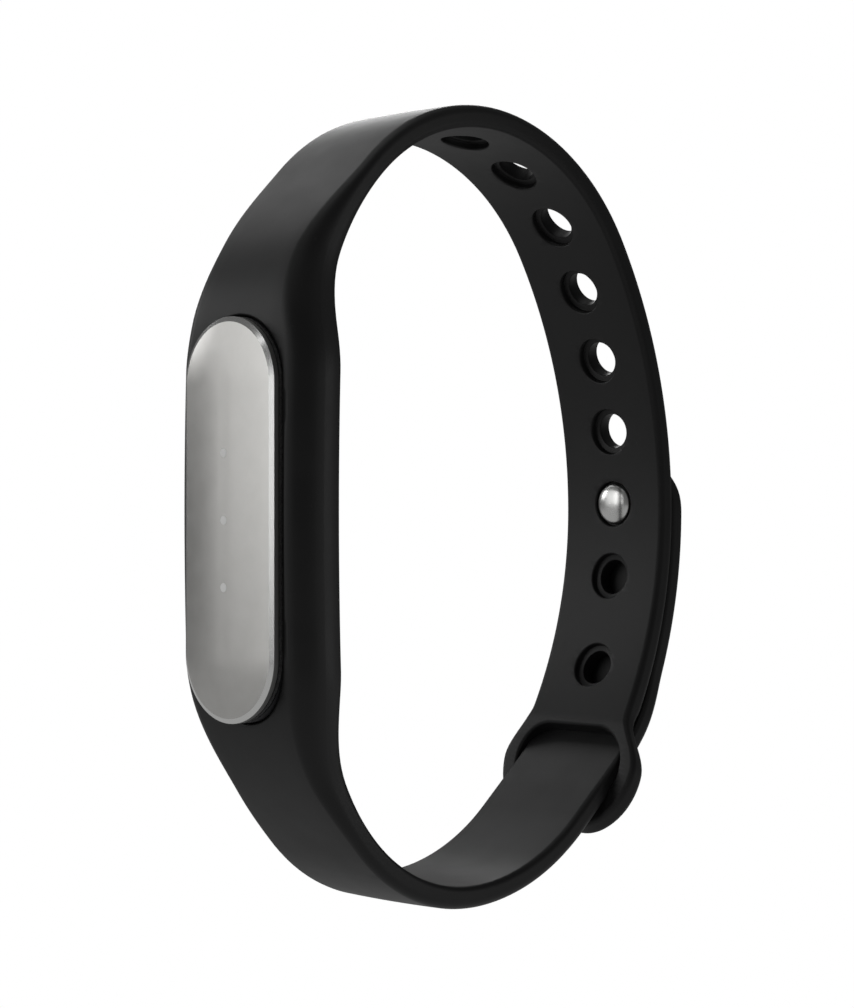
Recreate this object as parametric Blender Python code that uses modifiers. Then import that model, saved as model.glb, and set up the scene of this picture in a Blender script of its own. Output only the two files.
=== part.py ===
"""Fitness tracker band: a moulded rubber wrist band that holds a tracker capsule.

The origin is the centre of the wrist opening. +X runs along the wrist, -Y points away from the
capsule's face and +Z runs up the capsule. Lengths are in metres, written as millimetres * MM.
A place on the band is (s, x, d): s is the distance along the band's wrist-side line from the
middle of the capsule, up over the top and down the back; x is across it; d is outwards from it.
"""
import math

import bmesh
import bpy
from mathutils import Matrix, Vector

MM = 0.001

# ---- Clearances ----
GAP = 0.3 * MM                  # between rubber and whatever it touches
FINE_GAP = 0.15 * MM            # between the small pieces inside the capsule
RUNNING_GAP = 0.08 * MM         # rotor bore around the motor shaft

# ---- The closed band's line, on its wrist side ----
FRONT_WALL_Y = -18.7 * MM       # the line behind the capsule
CAPSULE_DROP = 0.75 * MM        # the capsule sits this far below the middle of the opening
UPPER_CHEEK_SHORT = 1.8 * MM    # the nearly straight stretch ends this far inside the capsule's end
LOWER_CHEEK_SHORT = 2.3 * MM
CHEEK_RADIUS = 400.0 * MM       # that stretch's own slight curve
UPPER_SHOULDER = (21.4 * MM, 40.4)      # radius, degrees turned
UPPER_TOP = (20.2 * MM, 61.2)
UPPER_BACK = (22.0 * MM, 43.8)
LOWER_SHOULDER = (23.5 * MM, 25.2)
LOWER_TURN = 62.8               # its radius follows from the two halves meeting
LOWER_BACK = (22.5 * MM, 46.6)

# ---- Strap ----
STRAP_WIDTH = 13.1 * MM
STRAP_THICKNESS = 2.15 * MM
STRAP_INNER_EDGE = 0.55 * MM    # edge radius towards the wrist
STRAP_OUTER_EDGE = 0.8 * MM
CRADLE_WIDTH = 16.4 * MM        # rubber around the capsule
CRADLE_THICKNESS = 5.7 * MM
CRADLE_INNER_EDGE = 1.0 * MM
CRADLE_OUTER_EDGE = 2.5 * MM
CRADLE_INSIDE = 2.0 * MM        # the tapers are counted from this far inside the capsule's end
UPPER_TAPER = (0.5 * MM, 16.5 * MM)     # start and length, as the cradle thins into the strap
LOWER_TAPER = (-4.0 * MM, 18.0 * MM)
CRADLE_NARROWING = (-1.5 * MM, 11.0 * MM)       # start and length, as it narrows

# ---- Holes and clasp ----
HOLE_COUNT = 9
FIRST_HOLE = 51.5 * MM         # from the middle of the capsule, over the top
HOLE_PITCH = 7.58 * MM
LAST_HOLE_PITCH = 9.6 * MM
HOLE_RADIUS = 1.75 * MM
RECESS_RADIUS = 2.35 * MM       # wrist-side counterbore of each hole
RECESS_DEPTH = 0.7 * MM
STUD_HOLE = 7                   # the hole that holds the stud
STUD_RADIUS = 2.1 * MM
STUD_PROUD = 0.6 * MM           # dome above the wrist-side face
STUD_POST_RADIUS = 1.1 * MM
STRETCH = 0.4 * MM              # how much the stud's hole is stretched around it
BUTTON_RADIUS = 2.8 * MM
BUTTON_THICKNESS = 0.8 * MM
BUTTON_SUNK = 0.45 * MM         # depth of its seat in the tail
SPIGOT_RADIUS = 0.55 * MM       # riveted end of the stud's post

# ---- Tail and loop ----
TAIL_WIDTH = 12.0 * MM
TAIL_THICKNESS = 1.9 * MM
TIP_MARGIN = 6.0 * MM           # tip beyond the stud
LOOP_AFTER_STUD = 23.1 * MM     # from the stud to the middle of the loop's near bar
LOOP_LENGTH = 9.3 * MM          # between the middles of the near and far bars
LOOP_CORNER = 4.7 * MM
LOOP_BAR_WIDTH = 1.9 * MM
LOOP_BAR_THICKNESS = 2.0 * MM
LOOP_SIDE_GAP = 0.45 * MM       # between the strap's edge and the loop's side bar
LOOP_RISE = 3.0 * MM            # the far bar stands this much further out
LOOP_SWEEP = 1.4                # power with which it rises
FLARE_LENGTH = 3.0 * MM
FLARE_WIDTH = 0.2 * MM          # widening of each side into the loop
HINGE_BEFORE_LOOP = 3.7 * MM    # where the tail bends, from the near bar's middle

# ---- Capsule ----
CAPSULE_LENGTH = 36.4 * MM
CAPSULE_WIDTH = 12.2 * MM
PLATE_CROWN = 0.68 * MM
PLATE_EDGE = 0.5 * MM           # thickness at the rim
PLATE_PROUD = 0.6 * MM          # rim above the rubber around it
SHELL_WALL = 0.7 * MM
SHELL_DEPTH = 3.8 * MM          # from the seal to the shoulder
BOSS_WIDTH = 9.8 * MM           # rear boss that shows on the wrist side
BOSS_LENGTH = 34.0 * MM
BOSS_PROUD = 1.5 * MM           # boss beyond the wrist-side face
SEAL_THICKNESS = 0.3 * MM
SEAL_WIDTH = 0.6 * MM

# ---- Inside the capsule ----
BOARD_THICKNESS = 0.6 * MM
BOARD_SIDE_GAP = 0.3 * MM
BOARD_DEPTH = 1.55 * MM         # board's front face behind the seal
LED_PITCH = 6.0 * MM
LED_SIZE = (1.0 * MM, 0.4 * MM, 1.0 * MM)
LIGHT_HOLE_RADIUS = 0.45 * MM
LIGHT_BAR = (1.6 * MM, 0.5 * MM)        # width, thickness
CELL_SIZE = (7.6 * MM, 2.7 * MM, 17.0 * MM)
CELL_Z = -3.6 * MM              # its middle, from the capsule's
FOAM_THICKNESS = 0.35 * MM
MOTOR_RADIUS = 3.9 * MM
MOTOR_Z = 11.2 * MM
MOTOR_LENGTH = 2.5 * MM
MOTOR_SHEET = 0.2 * MM
SHAFT_RADIUS = 0.4 * MM
ROTOR_RADIUS = 3.3 * MM
ROTOR_HUB = 1.1 * MM
ROTOR_THICKNESS = 0.8 * MM
MAGNET_RADII = (1.0 * MM, 2.4 * MM)
MAGNET_THICKNESS = 0.45 * MM
CONTACT_RADIUS = 0.9 * MM
CONTACT_SPREAD = 4.6 * MM
CONTACT_Z = -14.4 * MM
WIRE_RADIUS = 0.15 * MM
CHIPS = (                       # name, size along x, y and z, and middle (x, z), in millimetres
    ("radio_chip", (3.4, 0.8, 3.4), (-2.6, 9.6)),
    ("motion_sensor", (2.0, 0.8, 2.0), (2.6, 8.9)),
    ("charger_chip", (2.0, 0.7, 2.4), (-2.6, -9.4)),
    ("crystal", (1.6, 0.5, 2.0), (2.7, 12.2)),
    ("antenna", (6.0, 0.8, 1.4), (0.0, -13.2)),
)

ROUND_STEPS = 32
ARC_STEP = 2.8 * MM             # distance between the strap's sections

# Places along Y of the layers in the capsule, front to back
RUBBER_FRONT_Y = FRONT_WALL_Y - CRADLE_THICKNESS
PLATE_RIM_Y = RUBBER_FRONT_Y - PLATE_PROUD
PLATE_BACK_Y = PLATE_RIM_Y + PLATE_EDGE
SEAL_Y = PLATE_BACK_Y + FINE_GAP
SHELL_FRONT_Y = SEAL_Y + SEAL_THICKNESS + FINE_GAP
SHOULDER_Y = SHELL_FRONT_Y + SHELL_DEPTH
SHELL_BACK_Y = FRONT_WALL_Y + BOSS_PROUD
FLOOR_Y = SHELL_BACK_Y - SHELL_WALL
BOARD_Y = SEAL_Y + BOARD_DEPTH
BOARD_BACK_Y = BOARD_Y + BOARD_THICKNESS
CAPSULE_CENTRE = Vector((0.0, 0.0, -CAPSULE_DROP))

RUBBER = ((0.012, 0.012, 0.013), 0.55, 0.0)
PLATE_METAL = ((0.52, 0.51, 0.49), 0.35, 1.0)
STEEL = ((0.62, 0.62, 0.62), 0.18, 1.0)
DARK_PLASTIC = ((0.02, 0.02, 0.022), 0.45, 0.0)
CLEAR_PLASTIC = ((0.85, 0.87, 0.88), 0.2, 0.0)
BOARD_GREEN = ((0.01, 0.09, 0.04), 0.4, 0.0)
CHIP_BLACK = ((0.015, 0.015, 0.015), 0.5, 0.0)
CERAMIC = ((0.6, 0.58, 0.52), 0.5, 0.0)
GOLD = ((0.83, 0.6, 0.22), 0.2, 1.0)
NICKEL = ((0.55, 0.53, 0.5), 0.3, 1.0)
CELL_FOIL = ((0.6, 0.61, 0.62), 0.35, 1.0)
FOAM = ((0.05, 0.05, 0.05), 0.95, 0.0)
MAGNET = ((0.2, 0.2, 0.21), 0.3, 1.0)
TUNGSTEN = ((0.3, 0.3, 0.31), 0.4, 1.0)

parts = bpy.data.collections.new("fitness_tracker_band")
cutters = bpy.data.collections.new("cutters")


# ---------------------------------------------------------------- the band's line
def half_arcs(cheek_short, bends):
    """Arcs (radius, turn in radians) of one half, from the capsule to the middle of the back."""
    arcs = [(CHEEK_RADIUS, (CAPSULE_LENGTH / 2 - cheek_short) / CHEEK_RADIUS)]
    arcs += [(radius, math.radians(degrees)) for radius, degrees in bends]
    y, z, heading = follow(arcs)
    closing_radius = z / math.sin(heading)
    return arcs + [(closing_radius, math.pi - heading)]


def follow(arcs, length=math.inf):
    """Place (y, z) and heading after a length along the arcs, starting up from the capsule."""
    y, z, heading = FRONT_WALL_Y, 0.0, 0.0
    for radius, turn in arcs:
        step = min(turn, length / radius)
        y += radius * (math.cos(heading) - math.cos(heading + step))
        z += radius * (math.sin(heading + step) - math.sin(heading))
        heading += step
        length -= step * radius
        if length <= 0:
            break
    return y, z, heading


def arcs_length(arcs):
    return sum(radius * turn for radius, turn in arcs)


def lower_arcs(turn_radius):
    return half_arcs(LOWER_CHEEK_SHORT, (LOWER_SHOULDER, (turn_radius, LOWER_TURN), LOWER_BACK))


def meeting_radius():
    """Radius of the lower turn that brings the lower half to the upper half's end."""
    back_y = follow(UPPER_ARCS)[0]
    low, high = 5 * MM, 60 * MM
    for _ in range(60):
        middle = (low + high) / 2
        if follow(lower_arcs(middle))[0] < back_y:
            low = middle
        else:
            high = middle
    return low


UPPER_ARCS = half_arcs(UPPER_CHEEK_SHORT, (UPPER_SHOULDER, UPPER_TOP, UPPER_BACK))
LOWER_ARCS = lower_arcs(meeting_radius())
UPPER_LENGTH = arcs_length(UPPER_ARCS)
BAND_LENGTH = UPPER_LENGTH + arcs_length(LOWER_ARCS)


def place(s, x=0.0, d=0.0):
    """Point on the band: s along it (negative goes down from the capsule), x across, d outwards."""
    s = s % BAND_LENGTH
    upper = s <= UPPER_LENGTH
    along = s if upper else BAND_LENGTH - s
    y, z, heading = follow(UPPER_ARCS if upper else LOWER_ARCS, along)
    side = 1 if upper else -1
    return Vector((x, y - math.cos(heading) * d, side * (z + math.sin(heading) * d)))


def outward(s):
    return (place(s, 0.0, MM) - place(s)).normalized()


def ease(t):
    """0 to 1 with flat ends, for tapers."""
    t = min(1.0, max(0.0, t))
    return t * t * (3 - 2 * t)


# ---------------------------------------------------------------- distances along the band
HOLES = [FIRST_HOLE + HOLE_PITCH * index for index in range(HOLE_COUNT - 1)]
HOLES.append(HOLES[-1] + LAST_HOLE_PITCH)
STUD_S = HOLES[STUD_HOLE - 1]
LOOP_S = STUD_S + LOOP_AFTER_STUD               # near bar of the loop
HINGE_S = LOOP_S - HINGE_BEFORE_LOOP
TIP_S = STUD_S - TIP_MARGIN
TAIL_LIFT = STRAP_THICKNESS + GAP               # the tail lies on the strap's outer face
CROSS_START = LOOP_S + LOOP_LENGTH - 1.5 * MM   # the lower strap starts to rise into the loop
CROSS_END = LOOP_S + LOOP_BAR_WIDTH


# ---------------------------------------------------------------- modelling helpers
def add_object(name, mesh, finish=None, collection=None):
    made = bpy.data.objects.new(name, mesh)
    (collection or parts).objects.link(made)
    if finish:
        mesh.materials.append(make_material(name, *finish))
    return made


def make_material(name, colour, roughness, metallic):
    material = bpy.data.materials.new(name)
    material.use_nodes = True
    shader = material.node_tree.nodes["Principled BSDF"]
    shader.inputs["Base Color"].default_value = (*colour, 1.0)
    shader.inputs["Roughness"].default_value = roughness
    shader.inputs["Metallic"].default_value = metallic
    return material


def mesh_from(name, build):
    """A mesh filled by a function that works on a bmesh."""
    mesh = bpy.data.meshes.new(name)
    work = bmesh.new()
    build(work)
    bmesh.ops.recalc_face_normals(work, faces=work.faces)
    work.to_mesh(mesh)
    work.free()
    return mesh


def loft(name, rings, finish=None, closed=False, collection=None):
    """Skin over rings of points that all have the same count."""
    def build(work):
        rows = [[work.verts.new(point) for point in ring] for ring in rings]
        following = rows[1:] + (rows[:1] if closed else [])
        for row, after in zip(rows, following):
            for index in range(len(row)):
                other = (index + 1) % len(row)
                work.faces.new((row[index], row[other], after[other], after[index]))
        if not closed:
            work.faces.new(rows[0])
            work.faces.new(reversed(rows[-1]))
    return add_object(name, mesh_from(name, build), finish, collection)


def box(name, size, centre, finish=None, bevel=0.0, collection=None):
    def build(work):
        bmesh.ops.create_cube(work, size=1.0, matrix=Matrix.Diagonal((*size, 1.0)))
    made = add_object(name, mesh_from(name, build), finish, collection)
    made.location = centre
    if bevel:
        add_bevel(made, bevel)
    return made


def add_bevel(target, width, segments=2):
    bevel = target.modifiers.new("edges", "BEVEL")
    bevel.width = width
    bevel.segments = segments
    bevel.limit_method = "ANGLE"
    bevel.angle_limit = math.radians(40)


def slab(name, outlines, thickness, centre, finish=None, bevel=0.0, collection=None):
    """Flat piece across Y: outlines of (x, z) points, the first outside and the rest holes."""
    curve = bpy.data.curves.new(name, "CURVE")
    curve.dimensions = "2D"
    curve.fill_mode = "BOTH"
    curve.extrude = thickness / 2
    for outline in outlines:
        spline = curve.splines.new("POLY")
        spline.points.add(len(outline) - 1)
        for point, (x, z) in zip(spline.points, outline):
            point.co = (x, z, 0.0, 1.0)
        spline.use_cyclic_u = True
    made = solid_from_curve(name, curve, finish, collection)
    made.data.transform(Matrix.Rotation(math.radians(90), 4, "X"))
    made.location = centre
    if bevel:
        add_bevel(made, bevel)
    return made


def solid_from_curve(name, curve, finish, collection):
    """Closed mesh object of a filled curve."""
    holder = bpy.data.objects.new(name + "_curve", curve)
    bpy.context.scene.collection.objects.link(holder)
    graph = bpy.context.evaluated_depsgraph_get()
    mesh = bpy.data.meshes.new_from_object(holder.evaluated_get(graph))
    bpy.data.objects.remove(holder)
    work = bmesh.new()
    work.from_mesh(mesh)
    bmesh.ops.remove_doubles(work, verts=work.verts, dist=0.001 * MM)
    bmesh.ops.recalc_face_normals(work, faces=work.faces)
    work.to_mesh(mesh)
    work.free()
    mesh.name = name
    return add_object(name, mesh, finish, collection)


def tube(name, points, radius, finish):
    """Round wire through points."""
    curve = bpy.data.curves.new(name, "CURVE")
    curve.dimensions = "3D"
    curve.bevel_depth = radius
    curve.bevel_resolution = 2
    curve.use_fill_caps = True
    spline = curve.splines.new("POLY")
    spline.points.add(len(points) - 1)
    for point, place_at in zip(spline.points, points):
        point.co = (*place_at, 1.0)
    return solid_from_curve(name, curve, finish, parts)


def turned(name, profile, centre, axis, finish=None, collection=None):
    """Turned piece: (radius, height) points from the top of the axis down to its foot."""
    mesh = bpy.data.meshes.new(name)
    edges = [(index, index + 1) for index in range(len(profile) - 1)]
    mesh.from_pydata([(radius, 0.0, height) for radius, height in profile], edges, [])
    made = add_object(name, mesh, finish, collection)
    screw = made.modifiers.new("turn", "SCREW")
    screw.steps = ROUND_STEPS
    screw.render_steps = ROUND_STEPS
    screw.use_merge_vertices = True
    screw.merge_threshold = 0.00001
    made.matrix_world = Matrix.Translation(centre) @ axis.to_track_quat("Z", "Y").to_matrix().to_4x4()
    return made


def boolean(target, other, operation="DIFFERENCE"):
    modifier = target.modifiers.new(operation.lower(), "BOOLEAN")
    modifier.operation = operation
    modifier.solver = "EXACT"
    modifier.object = other
    other.hide_render = True
    other.display_type = "WIRE"


def apply_modifiers(target):
    bpy.context.view_layer.update()
    graph = bpy.context.evaluated_depsgraph_get()
    mesh = bpy.data.meshes.new_from_object(target.evaluated_get(graph))
    target.modifiers.clear()
    target.data = mesh


def set_origin(target, point):
    """Move an unrotated object's origin to a point without moving its shape."""
    target.data.transform(Matrix.Translation(target.location - point))
    target.location = point


def circle(radius, x=0.0, z=0.0, steps=ROUND_STEPS):
    angles = [2 * math.pi * step / steps for step in range(steps)]
    return [(x + radius * math.cos(angle), z + radius * math.sin(angle)) for angle in angles]


def stadium(width, length, steps=20):
    """Outline with straight sides and half-round ends, long along z."""
    radius = width / 2
    points = []
    for end, start in ((1, 0.0), (-1, math.pi)):
        for step in range(steps + 1):
            angle = start + math.pi * step / steps
            points.append((radius * math.cos(angle), end * (length / 2 - radius) + radius * math.sin(angle)))
    return points


# ---------------------------------------------------------------- rubber
def strap_ring(s, width, thickness, lift, inner_edge, outer_edge):
    """Rounded rectangle section of the band at s; lift moves it outwards."""
    half = width / 2
    inner_edge, outer_edge = min(inner_edge, 0.9 * half), min(outer_edge, 0.9 * half)
    corners = (
        (half - inner_edge, inner_edge, inner_edge, -90),
        (half - outer_edge, thickness - outer_edge, outer_edge, 0),
        (-half + outer_edge, thickness - outer_edge, outer_edge, 90),
        (-half + inner_edge, inner_edge, inner_edge, 180),
    )
    ring = []
    for x, d, radius, start in corners:
        for step in range(4):
            angle = math.radians(start + 30 * step)
            ring.append(place(s, x + radius * math.cos(angle), lift + d + radius * math.sin(angle)))
    return ring


def taper(beyond, start_and_length):
    start, length = start_and_length
    return ease((beyond - start) / length)


def band_ring(s, lift=0.0, widen=0.0, tail=0.0):
    """Section of the band proper: cradle near the capsule, strap elsewhere."""
    wrapped = (s + BAND_LENGTH / 2) % BAND_LENGTH - BAND_LENGTH / 2
    beyond = abs(wrapped + CAPSULE_DROP) - (CAPSULE_LENGTH / 2 - CRADLE_INSIDE)
    thick = 1 - taper(beyond, UPPER_TAPER if wrapped > 0 else LOWER_TAPER)
    wide = 1 - taper(beyond, CRADLE_NARROWING)
    width = STRAP_WIDTH + (CRADLE_WIDTH - STRAP_WIDTH) * wide
    width += (TAIL_WIDTH - STRAP_WIDTH) * tail + 2 * widen
    thickness = STRAP_THICKNESS + (CRADLE_THICKNESS - STRAP_THICKNESS) * thick
    thickness += (TAIL_THICKNESS - STRAP_THICKNESS) * tail
    inner_edge = STRAP_INNER_EDGE + (CRADLE_INNER_EDGE - STRAP_INNER_EDGE) * thick
    outer_edge = STRAP_OUTER_EDGE + (CRADLE_OUTER_EDGE - STRAP_OUTER_EDGE) * thick
    return strap_ring(s, width, thickness, lift, inner_edge, outer_edge)


def stations(start, end, step=ARC_STEP):
    count = max(2, math.ceil(abs(end - start) / step))
    return [start + (end - start) * index / count for index in range(count + 1)]


def crossing(s):
    """0 where the lower strap lies on the band's line, 1 where it lies outside the upper strap."""
    return ease((CROSS_START - s) / (CROSS_START - CROSS_END))


def make_band():
    """One moulding: upper strap with holes, cradle, lower strap up through the loop."""
    upper_end = LOOP_S + 0.2 * MM
    flare_start = LOOP_S - FLARE_LENGTH
    rings = [band_ring(s, widen=FLARE_WIDTH * ease((s - flare_start) / FLARE_LENGTH))
             for s in stations(upper_end, flare_start, 1.0 * MM)]
    cradle_top = CAPSULE_LENGTH / 2 + sum(UPPER_TAPER)
    rings += [band_ring(s) for s in stations(flare_start, cradle_top)[1:]]
    turn_down = CROSS_START - BAND_LENGTH
    rings += [band_ring(s) for s in stations(cradle_top, turn_down, 2.0 * MM)[1:]]
    for s in stations(CROSS_START, HINGE_S + GAP, 1.1 * MM)[1:]:
        rings.append(band_ring(s, TAIL_LIFT * crossing(s), 0.0, crossing(s)))
    band = loft("band", rings, RUBBER)
    boolean(band, make_loop(), "UNION")
    cut_capsule_pocket(band)
    for index, s in enumerate(HOLES):
        boolean(band, hole_cutter(index + 1, s))
    apply_modifiers(band)
    return band


def loop_half_width():
    return STRAP_WIDTH / 2 + LOOP_SIDE_GAP + LOOP_BAR_WIDTH / 2


def make_loop():
    """Closed rounded bar around the opening that the lower strap passes through."""
    half = loop_half_width()
    middle = LOOP_S + LOOP_LENGTH / 2
    path = []
    for side_x, side_s, start in ((1, 1, 0), (-1, 1, 90), (-1, -1, 180), (1, -1, 270)):
        for step in range(7):
            angle = math.radians(start + 15 * step)
            path.append((side_x * (half - LOOP_CORNER) + LOOP_CORNER * math.cos(angle),
                         side_s * (LOOP_LENGTH / 2 - LOOP_CORNER) + LOOP_CORNER * math.sin(angle)))
    rings = []
    for index, (x, along) in enumerate(path):
        before = Vector(path[index - 1])
        after = Vector(path[(index + 1) % len(path)])
        direction = (after - before).normalized()
        sideways = Vector((direction.y, -direction.x))
        rise = LOOP_RISE * (along / LOOP_LENGTH + 0.5) ** LOOP_SWEEP
        ring = []
        for step in range(14):
            angle = 2 * math.pi * step / 14
            across = LOOP_BAR_WIDTH / 2 * rounded(math.cos(angle))
            out = LOOP_BAR_THICKNESS / 2 * rounded(math.sin(angle))
            ring.append(place(middle + along + sideways.y * across, x + sideways.x * across,
                              STRAP_THICKNESS / 2 + rise + out))
        rings.append(ring)
    return loft("loop_bar", rings, closed=True, collection=cutters)


def rounded(value, fullness=0.7):
    """Fuller than a circle: pushes an ellipse's coordinate out towards a rectangle's."""
    return math.copysign(abs(value) ** fullness, value)


def cut_capsule_pocket(band):
    """Straight pocket from the front, and the smaller window that the rear boss shows through."""
    ledge_y = SHOULDER_Y + GAP
    outside_y = PLATE_RIM_Y - 5 * MM
    pocket = slab("pocket_cutter", [stadium(CAPSULE_WIDTH + 2 * GAP, CAPSULE_LENGTH + 2 * GAP)],
                  ledge_y - outside_y, CAPSULE_CENTRE + Vector((0, (ledge_y + outside_y) / 2, 0)),
                  collection=cutters)
    inside_y = FRONT_WALL_Y + 5 * MM
    window = slab("window_cutter", [stadium(BOSS_WIDTH + 2 * GAP, BOSS_LENGTH + 2 * GAP)],
                  inside_y - outside_y, CAPSULE_CENTRE + Vector((0, (inside_y + outside_y) / 2, 0)),
                  collection=cutters)
    boolean(band, pocket)
    boolean(band, window)


def hole_cutter(number, s):
    """Stepped hole; the one that holds the stud is straight, at the size it is stretched to."""
    top = STRAP_THICKNESS + GAP / 2
    if number == STUD_HOLE:
        stretched = STUD_RADIUS + STRETCH
        profile = [(0, top), (stretched, top), (stretched, -MM), (0, -MM)]
    else:
        profile = [(0, top), (HOLE_RADIUS, top), (HOLE_RADIUS, RECESS_DEPTH),
                   (RECESS_RADIUS, RECESS_DEPTH), (RECESS_RADIUS, -MM), (0, -MM)]
    return turned(f"hole_cutter_{number}", profile, place(s), outward(s), collection=cutters)


def make_tail_end():
    """Free end of the lower strap, outside the loop, with a half-round tip."""
    radius = TAIL_WIDTH / 2
    full_s = TIP_S + radius
    rings = [band_ring(s, TAIL_LIFT, 0.0, 1.0) for s in stations(HINGE_S, full_s, 1.6 * MM)]
    for degrees in (15, 30, 45, 58, 70, 80, 86):
        angle = math.radians(degrees)
        narrower = radius * (math.cos(angle) - 1)
        rings.append(band_ring(full_s - radius * math.sin(angle), TAIL_LIFT, narrower, 1.0))
    tail = loft("tail_end", rings, RUBBER)
    tail_face = TAIL_LIFT + TAIL_THICKNESS
    post_hole = STUD_POST_RADIUS + GAP
    seat = BUTTON_RADIUS + GAP
    floor = tail_face - BUTTON_SUNK
    profile = [(0, tail_face + MM), (seat, tail_face + MM), (seat, floor), (post_hole, floor),
               (post_hole, TAIL_LIFT - GAP / 2), (0, TAIL_LIFT - GAP / 2)]
    boolean(tail, turned("post_cutter", profile, place(STUD_S), outward(STUD_S), collection=cutters))
    apply_modifiers(tail)
    return tail


def make_clasp():
    """Metal stud through the strap and the tail, and the button riveted to it outside."""
    button_face = TAIL_LIFT + TAIL_THICKNESS - BUTTON_SUNK + GAP + BUTTON_THICKNESS
    button_back = button_face - BUTTON_THICKNESS
    shoulder = RECESS_DEPTH - GAP / 2
    rim = shoulder * 0.4
    dome = []
    for degrees in range(0, 91, 15):
        angle = math.radians(degrees)
        dome.append((STUD_RADIUS * math.cos(angle), rim - (rim + STUD_PROUD) * math.sin(angle)))
    post_top = button_back - FINE_GAP
    spigot_top = button_back + BUTTON_THICKNESS * 0.5
    profile = [(0, spigot_top), (SPIGOT_RADIUS, spigot_top), (SPIGOT_RADIUS, post_top),
               (STUD_POST_RADIUS, post_top), (STUD_POST_RADIUS, shoulder), (STUD_RADIUS, shoulder)]
    profile += dome[:-1] + [(0, -STUD_PROUD)]
    stud = turned("clasp_stud", profile, place(STUD_S), outward(STUD_S), STEEL)
    chamfer = 0.25 * MM
    socket = SPIGOT_RADIUS + FINE_GAP
    socket_top = spigot_top + FINE_GAP
    profile = [(0, button_face), (BUTTON_RADIUS - chamfer, button_face),
               (BUTTON_RADIUS, button_face - chamfer), (BUTTON_RADIUS, button_back),
               (socket, button_back), (socket, socket_top), (0, socket_top)]
    button = turned("clasp_button", profile, place(STUD_S), outward(STUD_S), STEEL)
    return stud, button


# ---------------------------------------------------------------- capsule
def make_top_plate():
    """Metal face: a stadium crowned across and along, with three light holes."""
    rings = []
    crown_steps = ((1.0, 0.0), (0.965, 0.42), (0.9, 0.62), (0.75, 0.8), (0.5, 0.93), (0.2, 1.0))
    levels = [(1.0, PLATE_BACK_Y)]
    for scale, rise in crown_steps:
        levels.append((scale, PLATE_RIM_Y - PLATE_CROWN * rise))
    for scale, y in levels:
        inset = (1 - scale) * CAPSULE_WIDTH
        outline = stadium(CAPSULE_WIDTH - inset, CAPSULE_LENGTH - inset)
        rings.append([CAPSULE_CENTRE + Vector((x, y, z)) for x, z in outline])
    plate = loft("top_plate", rings, PLATE_METAL)
    for index in (-1, 0, 1):
        depth = 4 * MM
        foot = CAPSULE_CENTRE + Vector((0, PLATE_BACK_Y + depth / 2, index * LED_PITCH))
        profile = [(0, depth), (LIGHT_HOLE_RADIUS, depth), (LIGHT_HOLE_RADIUS, 0), (0, 0)]
        boolean(plate, turned(f"light_hole_cutter_{index + 2}", profile, foot, Vector((0, -1, 0)),
                              collection=cutters))
    apply_modifiers(plate)
    return plate


def make_light_guide():
    """Clear bar behind the plate with a post into each light hole."""
    width, thickness = LIGHT_BAR
    length = 2 * LED_PITCH + width
    y = SEAL_Y + thickness / 2
    bar = slab("light_guide", [stadium(width, length, 6)], thickness,
               CAPSULE_CENTRE + Vector((0, y, 0)), CLEAR_PLASTIC)
    post_top = PLATE_RIM_Y - PLATE_CROWN + FINE_GAP
    height = y - post_top
    for index in (-1, 0, 1):
        radius = LIGHT_HOLE_RADIUS - FINE_GAP
        foot = CAPSULE_CENTRE + Vector((0, y, index * LED_PITCH))
        profile = [(0, height), (radius, height), (radius, 0), (0, 0)]
        boolean(bar, turned(f"light_post_{index + 2}", profile, foot, Vector((0, -1, 0)),
                            collection=cutters), "UNION")
    apply_modifiers(bar)
    return bar


def make_shell():
    """Tub of the capsule: full-width body, shoulder, and the narrower boss towards the wrist."""
    body_depth = SHOULDER_Y - SHELL_FRONT_Y
    shell = slab("lower_shell", [stadium(CAPSULE_WIDTH, CAPSULE_LENGTH)], body_depth,
                 CAPSULE_CENTRE + Vector((0, (SHOULDER_Y + SHELL_FRONT_Y) / 2, 0)), DARK_PLASTIC)
    overlap = 0.5 * MM
    boss_depth = SHELL_BACK_Y - SHOULDER_Y + overlap
    boss = slab("boss", [stadium(BOSS_WIDTH, BOSS_LENGTH)], boss_depth,
                CAPSULE_CENTRE + Vector((0, SHELL_BACK_Y - boss_depth / 2, 0)),
                bevel=0.45 * MM, collection=cutters)
    boolean(shell, boss, "UNION")
    inner_shoulder = SHOULDER_Y - SHELL_WALL
    upper_depth = inner_shoulder - SHELL_FRONT_Y + MM
    upper = slab("shell_upper_cutter",
                 [stadium(CAPSULE_WIDTH - 2 * SHELL_WALL, CAPSULE_LENGTH - 2 * SHELL_WALL)], upper_depth,
                 CAPSULE_CENTRE + Vector((0, inner_shoulder - upper_depth / 2, 0)), collection=cutters)
    boolean(shell, upper)
    lower_depth = FLOOR_Y - SHELL_FRONT_Y + MM
    lower = slab("shell_lower_cutter",
                 [stadium(BOSS_WIDTH - 2 * SHELL_WALL, BOSS_LENGTH - 2 * SHELL_WALL)], lower_depth,
                 CAPSULE_CENTRE + Vector((0, FLOOR_Y - lower_depth / 2, 0)), collection=cutters)
    boolean(shell, lower)
    for side in (-1, 1):
        radius = CONTACT_RADIUS + FINE_GAP
        foot = contact_point(side, SHELL_BACK_Y + MM)
        depth = SHELL_WALL + 2 * MM
        profile = [(0, depth), (radius, depth), (radius, 0), (0, 0)]
        boolean(shell, turned(f"contact_cutter_{side + 2}", profile, foot, Vector((0, -1, 0)),
                              collection=cutters))
    apply_modifiers(shell)
    return shell


def contact_point(side, y):
    return CAPSULE_CENTRE + Vector((side * CONTACT_SPREAD / 2, y, CONTACT_Z))


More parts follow.
